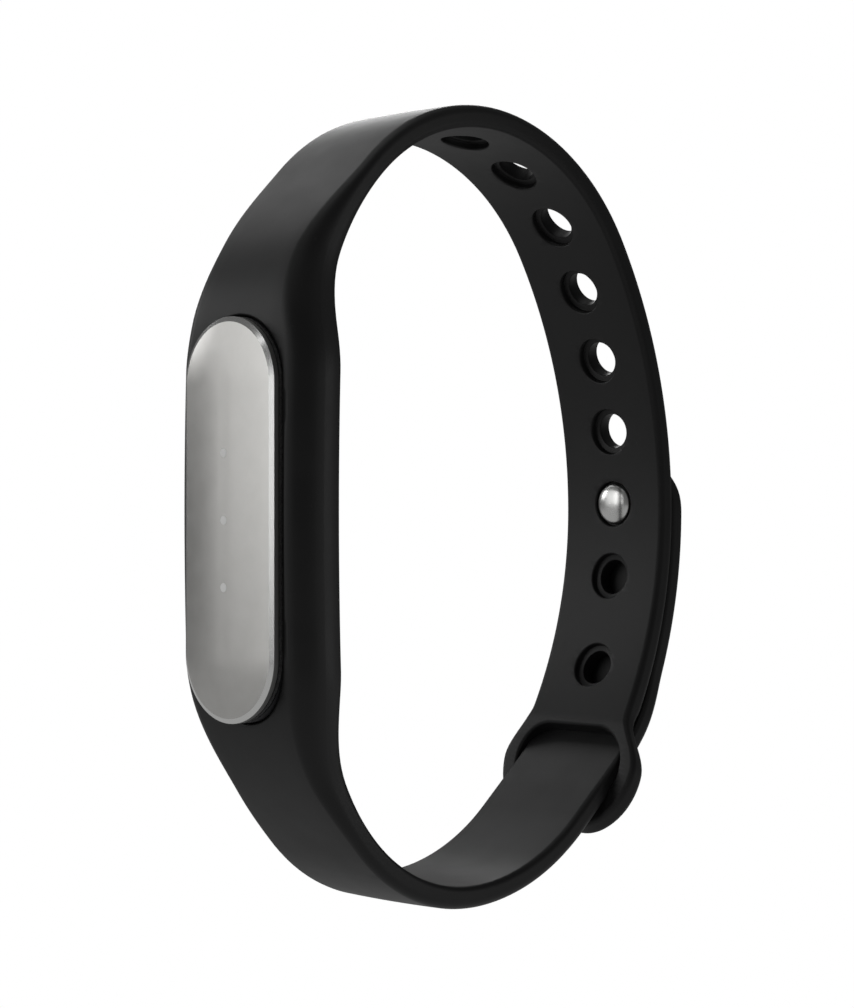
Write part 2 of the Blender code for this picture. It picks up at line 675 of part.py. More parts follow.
def make_seal():
    outer = stadium(CAPSULE_WIDTH, CAPSULE_LENGTH)
    inner = stadium(CAPSULE_WIDTH - 2 * SEAL_WIDTH, CAPSULE_LENGTH - 2 * SEAL_WIDTH)
    return slab("cover_seal", [outer, inner[::-1]], SEAL_THICKNESS,
                CAPSULE_CENTRE + Vector((0, SEAL_Y + SEAL_THICKNESS / 2, 0)), FOAM)


def make_board():
    """Circuit board and what is soldered on it."""
    width = CAPSULE_WIDTH - 2 * SHELL_WALL - 2 * BOARD_SIDE_GAP
    length = CAPSULE_LENGTH - 2 * SHELL_WALL - 2 * BOARD_SIDE_GAP
    made = [slab("circuit_board", [stadium(width, length)], BOARD_THICKNESS,
                 CAPSULE_CENTRE + Vector((0, BOARD_Y + BOARD_THICKNESS / 2, 0)), BOARD_GREEN)]
    front = BOARD_Y - FINE_GAP
    for index in (-1, 0, 1):
        made.append(box(f"led_{index + 2}", LED_SIZE,
                        CAPSULE_CENTRE + Vector((0, front - LED_SIZE[1] / 2, index * LED_PITCH)),
                        CLEAR_PLASTIC, 0.08 * MM))
    cans = {"crystal": NICKEL, "antenna": CERAMIC}
    for name, size, (x, z) in CHIPS:
        finish = cans.get(name, CHIP_BLACK)
        width_x, height, length_z = (value * MM for value in size)
        made.append(box(name, (width_x, height, length_z),
                        CAPSULE_CENTRE + Vector((x * MM, front - height / 2, z * MM)),
                        finish, 0.06 * MM))
    return made


def make_battery():
    """Flat cell on a foam pad, its small safety board, and the two tabs up to the main board."""
    width, depth, length = CELL_SIZE
    foam_y = FLOOR_Y - FINE_GAP - FOAM_THICKNESS / 2
    foam = box("foam_pad", (width - 1 * MM, FOAM_THICKNESS, length - 2 * MM),
               CAPSULE_CENTRE + Vector((0, foam_y, CELL_Z)), FOAM)
    cell_back = foam_y - FOAM_THICKNESS / 2 - FINE_GAP
    cell_y = cell_back - depth / 2
    cell = box("battery_cell", CELL_SIZE, CAPSULE_CENTRE + Vector((0, cell_y, CELL_Z)), CELL_FOIL, 0.5 * MM)
    safety_length = 2.0 * MM
    safety_z = CELL_Z + length / 2 + FINE_GAP + safety_length / 2
    safety = box("battery_board", (width - 1.6 * MM, 0.8 * MM, safety_length),
                 CAPSULE_CENTRE + Vector((0, cell_y, safety_z)), BOARD_GREEN)
    made = [foam, cell, safety]
    for side, name in ((-1, "battery_tab_negative"), (1, "battery_tab_positive")):
        top_y = BOARD_BACK_Y + FINE_GAP
        foot_y = cell_y - 0.4 * MM - FINE_GAP
        size = (1.0 * MM, foot_y - top_y, 0.9 * MM)
        middle = CAPSULE_CENTRE + Vector((side * 1.9 * MM, (foot_y + top_y) / 2, safety_z))
        made.append(box(name, size, middle, NICKEL, 0.05 * MM))
    return made


def make_motor():
    """Coin vibration motor: can, base, shaft, ring magnet and the eccentric rotor."""
    back_y = FLOOR_Y - FINE_GAP
    centre = CAPSULE_CENTRE + Vector((0, back_y, MOTOR_Z))
    forward = Vector((0, -1, 0))
    inner = MOTOR_RADIUS - MOTOR_SHEET
    can_foot = MOTOR_SHEET + FINE_GAP
    profile = [(0, MOTOR_LENGTH), (MOTOR_RADIUS - 0.2 * MM, MOTOR_LENGTH),
               (MOTOR_RADIUS, MOTOR_LENGTH - 0.2 * MM), (MOTOR_RADIUS, can_foot), (inner, can_foot),
               (inner, MOTOR_LENGTH - MOTOR_SHEET), (0, MOTOR_LENGTH - MOTOR_SHEET)]
    can = turned("motor_case", profile, centre, forward, NICKEL)
    profile = [(0, MOTOR_SHEET), (MOTOR_RADIUS, MOTOR_SHEET), (MOTOR_RADIUS, 0), (0, 0)]
    base = turned("motor_base", profile, centre, forward, NICKEL)
    shaft_foot = MOTOR_SHEET + FINE_GAP
    shaft_top = MOTOR_LENGTH - MOTOR_SHEET - FINE_GAP
    profile = [(0, shaft_top), (SHAFT_RADIUS, shaft_top), (SHAFT_RADIUS, shaft_foot), (0, shaft_foot)]
    shaft = turned("motor_shaft", profile, centre, forward, STEEL)
    magnet_y = back_y - shaft_foot - MAGNET_THICKNESS / 2
    magnet = slab("motor_magnet", [circle(MAGNET_RADII[1]), circle(MAGNET_RADII[0])[::-1]],
                  MAGNET_THICKNESS, Vector((centre.x, magnet_y, centre.z)), MAGNET)
    rotor_y = magnet_y - MAGNET_THICKNESS / 2 - FINE_GAP - ROTOR_THICKNESS / 2
    half_disc = [(ROTOR_RADIUS * math.cos(math.radians(angle)), ROTOR_RADIUS * math.sin(math.radians(angle)))
                 for angle in range(190, 351, 10)]
    hub = [(ROTOR_HUB * math.cos(math.radians(angle)), ROTOR_HUB * math.sin(math.radians(angle)))
           for angle in range(0, 181, 15)]
    rotor = slab("motor_rotor", [half_disc + hub, circle(SHAFT_RADIUS + RUNNING_GAP)[::-1]],
                 ROTOR_THICKNESS, Vector((centre.x, rotor_y, centre.z)), TUNGSTEN)
    return [can, base, shaft, magnet, rotor]


def make_contacts():
    """Two charging pads through the boss, each with a bent spring up to the board."""
    made = []
    for side, name in ((-1, "left"), (1, "right")):
        foot = contact_point(side, SHELL_BACK_Y - 0.1 * MM)
        height = SHELL_WALL + 0.3 * MM
        chamfer = 0.1 * MM
        profile = [(0, height), (CONTACT_RADIUS, height), (CONTACT_RADIUS, chamfer),
                   (CONTACT_RADIUS - chamfer, 0), (0, 0)]
        made.append(turned(f"contact_{name}", profile, foot, Vector((0, -1, 0)), GOLD))
        start_y = foot.y - height - FINE_GAP - WIRE_RADIUS
        end_y = BOARD_BACK_Y + FINE_GAP + WIRE_RADIUS
        bend = 0.5 * MM
        points = [(foot.x, start_y, foot.z - bend), (foot.x, start_y, foot.z + bend),
                  (foot.x, (start_y + end_y) / 2, foot.z - bend),
                  (foot.x, end_y, foot.z + bend), (foot.x, end_y, foot.z - bend)]
        made.append(tube(f"contact_spring_{name}", points, WIRE_RADIUS, GOLD))
    return made


def group(name, point, members):
    """Parent empty on the moving piece's own line of motion."""
    empty = bpy.data.objects.new(name, None)
    empty.location = point
    parts.objects.link(empty)
    bpy.context.view_layer.update()
    for member in members:
        member.parent = empty
        member.matrix_parent_inverse = empty.matrix_world.inverted()
    return empty


def main():
    for stale in list(bpy.data.objects):
        bpy.data.objects.remove(stale)
    for collection in (parts, cutters):
        bpy.context.scene.collection.children.link(collection)
    make_band()
    pivot = place(HINGE_S, 0.0, TAIL_LIFT + TAIL_THICKNESS)
    group("tail_pivot", pivot, [make_tail_end(), *make_clasp()])
    capsule = [make_top_plate(), make_light_guide(), make_seal(), make_shell(), *make_board(),
               *make_battery(), *make_contacts()]
    motor = make_motor()
    group("capsule_slide", CAPSULE_CENTRE + Vector((0, PLATE_RIM_Y, 0)), capsule + motor)
    for made in parts.objects:
        if made.type == "MESH":
            made.data.shade_smooth()
            made.data.set_sharp_from_angle(angle=math.radians(35))
    print("band length", round(BAND_LENGTH / MM, 2), "stud at", round(STUD_S / MM, 2))
    print("tail pivot", [round(value, 6) for value in pivot])
    print("outward at stud", [round(value, 4) for value in outward(STUD_S)])


main()
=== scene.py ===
# %% [markdown]
# # A fitness tracker band
# The object is a small metal-faced tracker capsule held in one moulding of soft black rubber.
# The rubber closes round the wrist: its lower strap goes through a loop at the end of the upper
# strap and lies outside it, and a metal stud snaps into one of nine holes.
# The exact solids and their joints already exist as a frame. This lesson loads it, replaces the
# faceted rubber and metal with finely shaped surfaces in the same places, and gives every piece a
# finish made from nodes.

# %% Load the frame
import math

import bmesh
import bpy
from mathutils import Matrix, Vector


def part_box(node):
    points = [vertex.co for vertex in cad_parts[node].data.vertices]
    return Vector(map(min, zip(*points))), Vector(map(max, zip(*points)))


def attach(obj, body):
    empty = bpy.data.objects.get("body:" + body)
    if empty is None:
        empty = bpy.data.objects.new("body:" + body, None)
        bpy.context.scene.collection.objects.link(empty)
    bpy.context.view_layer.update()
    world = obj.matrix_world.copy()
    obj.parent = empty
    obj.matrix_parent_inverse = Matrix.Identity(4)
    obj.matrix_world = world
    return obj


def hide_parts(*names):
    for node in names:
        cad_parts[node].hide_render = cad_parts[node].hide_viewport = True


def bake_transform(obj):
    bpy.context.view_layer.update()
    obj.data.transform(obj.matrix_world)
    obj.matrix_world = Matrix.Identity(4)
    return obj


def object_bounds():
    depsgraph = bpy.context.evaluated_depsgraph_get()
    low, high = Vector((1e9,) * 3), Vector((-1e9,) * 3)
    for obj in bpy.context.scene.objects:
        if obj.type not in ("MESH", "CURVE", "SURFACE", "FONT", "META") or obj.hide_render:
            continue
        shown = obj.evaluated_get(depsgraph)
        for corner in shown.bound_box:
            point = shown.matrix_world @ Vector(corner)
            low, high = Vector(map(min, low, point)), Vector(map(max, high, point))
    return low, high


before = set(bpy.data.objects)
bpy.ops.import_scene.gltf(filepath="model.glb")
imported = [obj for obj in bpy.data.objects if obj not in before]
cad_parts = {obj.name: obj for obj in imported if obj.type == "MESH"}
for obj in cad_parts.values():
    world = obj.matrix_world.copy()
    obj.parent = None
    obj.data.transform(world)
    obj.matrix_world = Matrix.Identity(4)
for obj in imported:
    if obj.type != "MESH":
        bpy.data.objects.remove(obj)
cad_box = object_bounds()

# %% [markdown]
# ## The line that everything follows
# A closed strap is easiest to describe along its own length. Its wrist side is a chain of arcs,
# so a place on the band is three numbers: s, the distance along that line from the middle of the
# capsule up over the top and down the back; x, across the strap; and d, outwards from the line.
# A curve object with a bevel could follow the line too, but its section is constant. Here it
# changes all the way, so the meshes are lofted from rings at many values of s. The two halves of
# the line must meet at the back of the wrist, so one radius of the lower half is searched for.

# %% The arcs of the band's line
MM = 0.001
CAPSULE_LENGTH = 36.4 * MM
CAPSULE_WIDTH = 12.2 * MM
CAPSULE_DROP = 0.75 * MM        # the capsule sits this far below the middle of the opening
LINE_FRONT_Y = -18.7 * MM
CHEEK_RADIUS = 400.0 * MM       # the nearly straight stretch behind the capsule
UPPER_CHEEK_SHORT = 1.8 * MM    # that stretch ends this far before the capsule does
LOWER_CHEEK_SHORT = 2.3 * MM
UPPER_BENDS = [(21.4 * MM, 40.4), (20.2 * MM, 61.2), (22.0 * MM, 43.8)]     # (radius, degrees)
LOWER_SHOULDER, LOWER_BACK = (23.5 * MM, 25.2), (22.5 * MM, 46.6)
LOWER_TURN = 62.8               # degrees; its radius is found below


def walk(arcs, length=math.inf):
    """Place (y, z) and heading after a length along arcs of (radius, turn)."""
    y, z, heading = LINE_FRONT_Y, 0.0, 0.0
    for radius, turn in arcs:
        step = min(turn, length / radius)
        y += radius * (math.cos(heading) - math.cos(heading + step))
        z += radius * (math.sin(heading + step) - math.sin(heading))
        heading += step
        length -= step * radius
        if length <= 0:
            break
    return y, z, heading


def half_line(cheek_short, bends):
    """Arcs of the upper or the lower half, closed by one last arc at the back of the wrist."""
    arcs = [(CHEEK_RADIUS, (CAPSULE_LENGTH / 2 - cheek_short) / CHEEK_RADIUS)]
    arcs += [(radius, math.radians(degrees)) for radius, degrees in bends]
    y, z, heading = walk(arcs)
    return arcs + [(z / math.sin(heading), math.pi - heading)]


def lower_half(turn_radius):
    return half_line(LOWER_CHEEK_SHORT, [LOWER_SHOULDER, (turn_radius, LOWER_TURN), LOWER_BACK])


def close_in(low, high, too_low, halvings):
    """Halve a range again and again round the value where too_low turns false."""
    for attempt in range(halvings):
        middle = (low + high) / 2
        if too_low(middle):
            low = middle
        else:
            high = middle
    return low


UPPER_LINE = half_line(UPPER_CHEEK_SHORT, UPPER_BENDS)
back_y = walk(UPPER_LINE)[0]
turn_radius = close_in(5 * MM, 60 * MM, lambda radius: walk(lower_half(radius))[0] < back_y, 60)
LOWER_LINE = lower_half(turn_radius)
UPPER_LENGTH = sum(radius * turn for radius, turn in UPPER_LINE)
BAND_LENGTH = UPPER_LENGTH + sum(radius * turn for radius, turn in LOWER_LINE)
print(f"line round the wrist: {BAND_LENGTH / MM:.2f} mm, lower turn radius {turn_radius / MM:.2f} mm")


# %% Places on the band
def place(s, x=0.0, d=0.0):
    """World point of a place on the band."""
    s = s % BAND_LENGTH
    upper = s <= UPPER_LENGTH
    y, z, heading = walk(UPPER_LINE if upper else LOWER_LINE, s if upper else BAND_LENGTH - s)
    side = 1 if upper else -1
    return Vector((x, y - math.cos(heading) * d, side * (z + math.sin(heading) * d)))


def outward(s):
    return (place(s, 0.0, MM) - place(s)).normalized()


def ease(t):
    """0 to 1 with flat ends."""
    t = min(1.0, max(0.0, t))
    return t * t * (3 - 2 * t)


print("top of the line:", [round(value / MM, 2) for value in place(50 * MM)])

# %% [markdown]
# ## The section of the strap
# A moulded strap has soft corners: small ones where it touches the skin and larger ones outside.
# A bevel modifier would round every edge by the same amount, so each ring is drawn directly: a
# wrist face, a slightly crowned outer face and side walls. Its points crowd together where an
# edge turns, which is where a highlight shows every fault.

# %% One ring of the strap
EDGE_STEPS = 6
FACE_STEPS = 8
WALL_STEPS = 6


def across(half, edge):
    """Places across a face, close together where its two edges round over."""
    turn = [edge * (1 - math.cos(math.pi / 2 * step / EDGE_STEPS)) for step in range(EDGE_STEPS + 1)]
    flat = half - edge
    inside = [-flat + 2 * flat * step / FACE_STEPS for step in range(1, FACE_STEPS)]
    left = [-half + inset for inset in turn]
    return left + inside + [-x for x in reversed(left)]


def drop(inset, edge, depth):
    """How far a rounded edge falls at a distance in from the outline; its arc is edge by depth."""
    part = 1 - min(max(inset / edge, 0.0), 1.0)
    return depth * (1 - math.sqrt(1 - part * part))


def ring_at(s, shape, inset_at=None):
    """Points round the strap at s: wrist face, one wall, outer face, other wall."""
    half, thick = shape["half"], shape["thick"]
    inner, outer = shape["inner"], shape["outer"]
    inner_depth, outer_depth = shape["inner_depth"], shape["outer_depth"]
    inset_at = inset_at or (lambda s, x: half - abs(x))
    flat = []
    for x in across(half, inner):
        flat.append((x, drop(inset_at(s, x), inner, inner_depth)))
    height = thick - outer_depth - inner_depth
    wall = [inner_depth + height * step / WALL_STEPS for step in range(1, WALL_STEPS)]
    flat += [(half, d) for d in wall]
    for x in reversed(across(half, outer)):
        crown = shape["crown"] * (1 - (x / half) ** 2) * min(1.0, inset_at(s, x) / outer)
        flat.append((x, thick - drop(inset_at(s, x), outer, outer_depth) + crown))
    flat += [(-half, d) for d in reversed(wall)]
    return [place(s, x, shape["lift"] + d) for x, d in flat]


print("points in one ring:", 2 * len(across(6 * MM, MM)) + 2 * (WALL_STEPS - 1))

# %% [markdown]
# ## How the section changes along the band
# Round the capsule the rubber swells into a thick cradle. It thins into the strap over sixteen
# to eighteen millimetres and narrows faster than that, eased so that no highlight kinks. The
# cradle's edges are ellipses, deeper than they are wide, which gives its flanks a soft turn.

# %% The cradle and the strap
STRAP_WIDTH = 13.1 * MM
STRAP_THICKNESS = 2.15 * MM
CRADLE_WIDTH = 16.9 * MM
CRADLE_THICKNESS = 5.7 * MM
STRAP_CROWN = 0.1 * MM
SWELL = 2 * MM                  # the changes are counted from this far before the capsule's ends
UPPER_TAPER = (0.5 * MM, 16.5 * MM)     # (start, length) of the thinning
LOWER_TAPER = (-4.0 * MM, 18.0 * MM)
NARROWING = (-3.0 * MM, 11.0 * MM)


def strap_shape(s):
    """Sizes of the ring at s, from the cradle to the plain strap."""
    wrapped = (s + BAND_LENGTH / 2) % BAND_LENGTH - BAND_LENGTH / 2
    beyond = abs(wrapped + CAPSULE_DROP) - (CAPSULE_LENGTH / 2 - SWELL)
    start, length = UPPER_TAPER if wrapped > 0 else LOWER_TAPER
    thick = 1 - ease((beyond - start) / length)
    wide = 1 - ease((beyond - NARROWING[0]) / NARROWING[1])
    return {
        "half": (STRAP_WIDTH + (CRADLE_WIDTH - STRAP_WIDTH) * wide) / 2,
        "thick": STRAP_THICKNESS + (CRADLE_THICKNESS - STRAP_THICKNESS) * thick,
        "inner": (0.55 + 0.45 * thick) * MM,
        "inner_depth": (0.55 + 1.75 * thick) * MM,
        "outer": (0.8 + 1.2 * thick) * MM,
        "outer_depth": (0.8 + 2.3 * thick) * MM,
        "crown": STRAP_CROWN * (1 - thick),
        "lift": 0.0,
    }


def face_y(x, z, outer):
    """y of the cradle's outer or wrist face at a point (x, z) of it."""
    def surface(s):
        shape = strap_shape(s)
        fall = drop(shape["half"] - abs(x), shape["outer"], shape["outer_depth"])
        return place(s, x, shape["thick"] - fall if outer else 0.0)

    return surface(close_in(-30 * MM, 30 * MM, lambda s: surface(s).z < z, 28)).y


print("cradle front at the middle: y =", round(face_y(0, 0, True) / MM, 3), "mm")

# %% [markdown]
# ## Skinning the rings
# Neighbouring rings with the same number of points are joined by four-sided faces. bmesh makes
# the faces and turns their normals outwards, and the ends are closed with one face each.


# %% Meshes from rings
def skin(rings, ends=True, work=None):
    """Faces over rings of equal count, in a new bmesh or added to one."""
    work = work or bmesh.new()
    rows = [[work.verts.new(point) for point in ring] for ring in rings]
    for row, after in zip(rows, rows[1:]):
        for index in range(len(row)):
            other = (index + 1) % len(row)
            work.faces.new((row[index], row[other], after[other], after[index]))
    if ends:
        work.faces.new(rows[0])
        work.faces.new(reversed(rows[-1]))
    return work


def piece(name, work, smooth_angle=38):
    """An object from a bmesh, smooth-shaded except at sharp edges."""
    bmesh.ops.remove_doubles(work, verts=work.verts, dist=0.0001 * MM)
    bmesh.ops.dissolve_degenerate(work, edges=work.edges, dist=0.0001 * MM)
    bmesh.ops.recalc_face_normals(work, faces=work.faces)
    mesh = bpy.data.meshes.new(name)
    work.to_mesh(mesh)
    work.free()
    made = bpy.data.objects.new(name, mesh)
    bpy.context.scene.collection.objects.link(made)
    mesh.shade_smooth()
    mesh.set_sharp_from_angle(angle=math.radians(smooth_angle))
    return made


def carve(target, cutter_work, smooth_angle=38):
    """Cut closed shapes out, then weight the normals by area so cuts don't dent the shading."""
    cutter = piece(target.name + "_cutter", cutter_work)
    cut = target.modifiers.new("cut", "BOOLEAN")
    cut.operation, cut.solver, cut.object = "DIFFERENCE", "EXACT", cutter
    apply_modifiers(target)
    bpy.data.objects.remove(cutter)
    target.data.shade_smooth()
    target.data.set_sharp_from_angle(angle=math.radians(smooth_angle))
    target.modifiers.new("weighted", "WEIGHTED_NORMAL").keep_sharp = True
    apply_modifiers(target)


def apply_modifiers(target):
    bpy.context.view_layer.update()
    graph = bpy.context.evaluated_depsgraph_get()
    target.data = bpy.data.meshes.new_from_object(target.evaluated_get(graph))
    target.modifiers.clear()


def stations(start, end, step):
    count = max(1, math.ceil(abs(end - start) / step))
    return [start + (end - start) * index / count for index in range(count + 1)]


print("helpers ready: skin, piece, carve, stations")

# %% [markdown]
# ## The loop that keeps the tail down
# At the end of the upper strap the rubber spreads into a flat loop. It lifts outwards as it goes,
# because the lower strap passes under its far bar and comes out over its nearer one, which is
# thinned to make room. A separate torus would leave a visible joint, so the strap itself is
# widened into a paddle with a rounded end, and a window is cut in it.

# %% Sizes of the loop
FIRST_HOLE = 51.5 * MM
HOLE_PITCH = 7.58 * MM
LAST_HOLE_PITCH = 9.6 * MM
HOLES = [FIRST_HOLE + HOLE_PITCH * index for index in range(8)]
HOLES.append(HOLES[-1] + LAST_HOLE_PITCH)
STUD_S = HOLES[6]
LOOP_S = STUD_S + 23.1 * MM             # middle of the bar nearer to the stud
LOOP_LENGTH = 9.0 * MM
LOOP_BAR = 1.9 * MM
LOOP_HALF = 8.9 * MM
LOOP_CORNER = 5.65 * MM
LOOP_RISE = 3.0 * MM
LOOP_END = LOOP_S + LOOP_LENGTH + LOOP_BAR / 2
FLARE_START = LOOP_S - 1.1 * MM
FLARE_LENGTH = 5.6 * MM
THINNED = 0.65 * MM             # how much thinner the nearer bar is
THIN_START, THIN_IN = LOOP_S + MM, 3.5 * MM
THIN_OUT = 4.0 * MM
STRAP_EDGE = 0.8 * MM           # rounding of the strap's outer edges


def loop_rise(s):
    """How far the loop has lifted at s; the power bends it up gently."""
    return LOOP_RISE * max(0.0, (s - LOOP_S) / LOOP_LENGTH) ** 1.25


def loop_inset(s, x):
    """Distance in from the paddle's outline, rounded corners included."""
    over_x = abs(x) - (LOOP_HALF - LOOP_CORNER)
    over_s = s - (LOOP_END - LOOP_CORNER)
    outside = math.hypot(max(over_x, 0.0), max(over_s, 0.0)) + min(max(over_x, over_s), 0.0)
    return min(LOOP_CORNER - outside, paddle_half(s) - abs(x))


def paddle_half(s):
    """Half the width of the strap as it spreads into the loop and rounds off."""
    spread = ease((s - FLARE_START) / FLARE_LENGTH)
    half = STRAP_WIDTH / 2 + (LOOP_HALF - STRAP_WIDTH / 2) * spread
    into_corner = min(LOOP_CORNER, max(0.0, s - (LOOP_END - LOOP_CORNER)))
    corner_half = LOOP_HALF - LOOP_CORNER + math.sqrt(LOOP_CORNER ** 2 - into_corner ** 2)
    return min(half, corner_half)


def paddle_shape(s):
    shape = strap_shape(s)
    spread = ease((s - FLARE_START) / FLARE_LENGTH)
    thinned = (1 - ease((THIN_START - s) / THIN_IN)) * (1 - ease((s - LOOP_S) / THIN_OUT))
    outer = STRAP_EDGE - 0.3 * MM * thinned
    shape.update(half=paddle_half(s), lift=loop_rise(s), crown=STRAP_CROWN * (1 - spread),
                 thick=STRAP_THICKNESS - THINNED * thinned, outer=outer, outer_depth=outer)
    return shape


print(f"loop from s = {LOOP_S / MM:.1f} to {LOOP_END / MM:.1f} mm, {2 * LOOP_HALF / MM:.1f} mm wide")

# %% [markdown]
# ## The upper strap, the cradle and the loop in one moulding
# The rings run from the loop's far end, up the back, over the top and down through the cradle to
# a seam on the lower strap. The strap goes on from there as a second piece, because its free end
# has to peel away. Both pieces share the seam's ring, so it can't be seen.

# %% The rings of the main moulding
SEAM_S = BAND_LENGTH - 34.0 * MM
SEAM_STEPS = (0.5 * MM, 0.15 * MM, 0.05 * MM, 0.0)      # rings crowd towards the seam
CRADLE_TOP, CRADLE_FOOT = 36 * MM, -33 * MM
BAR_ROUND = 1.2 * MM
BAR_STEPS = 12

bar_edge = [LOOP_END - BAR_ROUND * (1 - math.cos(math.pi / 2 * step / BAR_STEPS))
            for step in range(BAR_STEPS + 1)]
paddle_stations = bar_edge + stations(LOOP_END - BAR_ROUND, FLARE_START, 0.45 * MM)[1:]
plain_stations = stations(FLARE_START, CRADLE_TOP, 0.8 * MM)[1:]
plain_stations += stations(CRADLE_TOP, CRADLE_FOOT, 0.7 * MM)[1:]
plain_stations += [SEAM_S - BAND_LENGTH + before for before in SEAM_STEPS]
rings = [ring_at(s, paddle_shape(s), loop_inset) for s in paddle_stations]
rings += [ring_at(s, strap_shape(s)) for s in plain_stations]
band_work = skin(rings)
print("rings in the main moulding:", len(rings))

# %% [markdown]
# ## Cutters with soft mouths
# A moulded hole never has a razor edge. Each cutter is a stack of outlines that flare at both
# ends like a quarter circle, so the cut leaves a small fillet. The flare stops short of flat,
# because a cutter that grazes a surface gives slivers.

# %% The profile of a soft mouth
MOUTH_ANGLES = (75, 60, 42, 24, 8, 0)
MOUTH_RUN = 0.25 * MM           # how far the cutter goes on in a straight line off the surface
CUT_ABOVE = 1.5 * MM


def mouth(fillet):
    """(outset, height over the surface) from outside down to a straight wall."""
    turns = [math.radians(degrees) for degrees in MOUTH_ANGLES]
    arc = [(fillet * (1 - math.cos(turn)), -fillet * (1 - math.sin(turn))) for turn in turns]
    lip = (arc[0][0] + MOUTH_RUN * math.sin(turns[0]), arc[0][1] + MOUTH_RUN * math.cos(turns[0]))
    return [(lip[0], CUT_ABOVE), lip] + arc


def round_outline(half, corner, steps=14):
    """Rounded rectangle, half = (along, across), as (along, across) points."""
    points = []
    for along, side, start in ((1, 1, 0), (-1, 1, 90), (-1, -1, 180), (1, -1, 270)):
        for step in range(steps + 1):
            angle = math.radians(start + 90 * step / steps)
            points.append((along * (half[0] - corner) + corner * math.cos(angle),
                           side * (half[1] - corner) + corner * math.sin(angle)))
    return points


print("a 0.3 mm mouth:", [(round(a / MM, 2), round(b / MM, 2)) for a, b in mouth(0.3 * MM)])

# %% [markdown]
# ## The nine holes
# On the wrist side each hole has a shallow, wider recess that the stud's head sinks into, and a
# narrower hole goes on through the strap. The outlines are circles drawn in the strap's own
# coordinates, so each hole follows the curve of the strap.

# %% Stepped holes along the strap
HOLE_RADIUS = 1.75 * MM
RECESS_RADIUS = 2.35 * MM
RECESS_DEPTH = 0.7 * MM
HOLE_MOUTH = 0.16 * MM
SOFT = 0.12 * MM                # rounding at the step


def round_cuts(s, profile, steps):
    """Circles on the strap round s, one for each (radius, d)."""
    angles = [2 * math.pi * step / steps for step in range(steps)]
    return [[place(s + radius * math.cos(angle), radius * math.sin(angle), d) for angle in angles]
            for radius, d in profile]


hole = [(RECESS_RADIUS + outset, -height) for outset, height in mouth(HOLE_MOUTH)]
hole += [(RECESS_RADIUS - into, RECESS_DEPTH - short)
         for into, short in ((0.0, SOFT), (SOFT * 0.3, SOFT * 0.3), (SOFT, 0.0))]
hole += [(HOLE_RADIUS + out, RECESS_DEPTH + past)
         for out, past in ((SOFT, 0.0), (SOFT * 0.3, SOFT * 0.3), (0.0, SOFT))]
hole += [(HOLE_RADIUS + outset, STRAP_THICKNESS + STRAP_CROWN + height)
         for outset, height in reversed(mouth(HOLE_MOUTH))]
band_cuts = bmesh.new()
for s in HOLES:
    skin(round_cuts(s, hole, 48), work=band_cuts)
print("holes:", len(HOLES), "| the stud's is at s =", round(STUD_S / MM, 2), "mm")

# %% [markdown]
# ## The window of the loop
# The window is a rounded rectangle through the paddle, with its near edge arched a little, as the
# rubber was drawn in the mould. It rises with the paddle, so its walls stay square to the faces.

# %% Cut the window of the loop
WINDOW_HALF = (LOOP_LENGTH / 2 - LOOP_BAR / 2, STRAP_WIDTH / 2 + 0.35 * MM)
WINDOW_CORNER = 3.5 * MM
WINDOW_ARCH = 0.3 * MM
WINDOW_MOUTH = 0.32 * MM


def window_ring(outset, d):
    half = (WINDOW_HALF[0] + outset, WINDOW_HALF[1] + outset)
    ring = []
    for along, x in round_outline(half, WINDOW_CORNER + outset):
        near = max(0.0, -along / half[0])
        s = LOOP_S + LOOP_LENGTH / 2 + along - WINDOW_ARCH * near * (1 - (x / half[1]) ** 2)
        ring.append(place(s, x, loop_rise(s) + d))
    return ring


outlines = [window_ring(outset, -height) for outset, height in mouth(WINDOW_MOUTH)]
outlines += [window_ring(outset, STRAP_THICKNESS + height)
             for outset, height in reversed(mouth(WINDOW_MOUTH))]
skin(outlines, work=band_cuts)
print("window:", [round(2 * size / MM, 1) for size in WINDOW_HALF], "mm")

# %% [markdown]
# ## The pocket for the capsule
# The capsule pushes in from the front. Behind it a smaller window lets the rear boss show on the
# wrist side, and the ledge between them holds the capsule. The lip is rounded, which gives the
# dark line round the metal face.

# %% Cut the pocket
GAP = 0.3 * MM                  # clearance of pieces that move or are pushed in
BOSS_WIDTH, BOSS_LENGTH = 9.8 * MM, 34.0 * MM
BOSS_MOUTH = 0.25 * MM
LEDGE_Y = -20.1 * MM + GAP
LEDGE_ROUND = 0.12 * MM
LIP_FILLET = 0.18 * MM
SNUG = 0.1 * MM                 # the rubber hugs the capsule
END_FLARE = 1.7                 # the lip is wider and deeper round the capsule's ends
END_START, END_LENGTH = 11 * MM, 5 * MM


def stadium(width, length, steps=28):
    """Outline (x, z) with straight sides and half-round ends."""
    radius = width / 2
    points = []
    for end, start in ((1, 0.0), (-1, math.pi)):
        for step in range(steps + 1):
            angle = start + math.pi * step / steps
            points.append((radius * math.cos(angle),
                           end * (length / 2 - radius) + radius * math.sin(angle)))
    return points


def capsule_outline(grow):
    return stadium(CAPSULE_WIDTH + 2 * grow, CAPSULE_LENGTH + 2 * grow)


def lip_ring(outset, height):
    """One outline of the lip, flared more towards the capsule's ends."""
    ring = []
    for (x, z), (x_end, z_end) in zip(capsule_outline(SNUG + outset),
                                      capsule_outline(SNUG + outset * END_FLARE)):
        part = ease((abs(z) - END_START) / END_LENGTH)
        x, z = x + (x_end - x) * part, z + (z_end - z) * part - CAPSULE_DROP
        deeper = 1 + (END_FLARE - 1) * part * (height < 0)
        ring.append(Vector((x, face_y(x, z, True) - height * deeper, z)))
    return ring


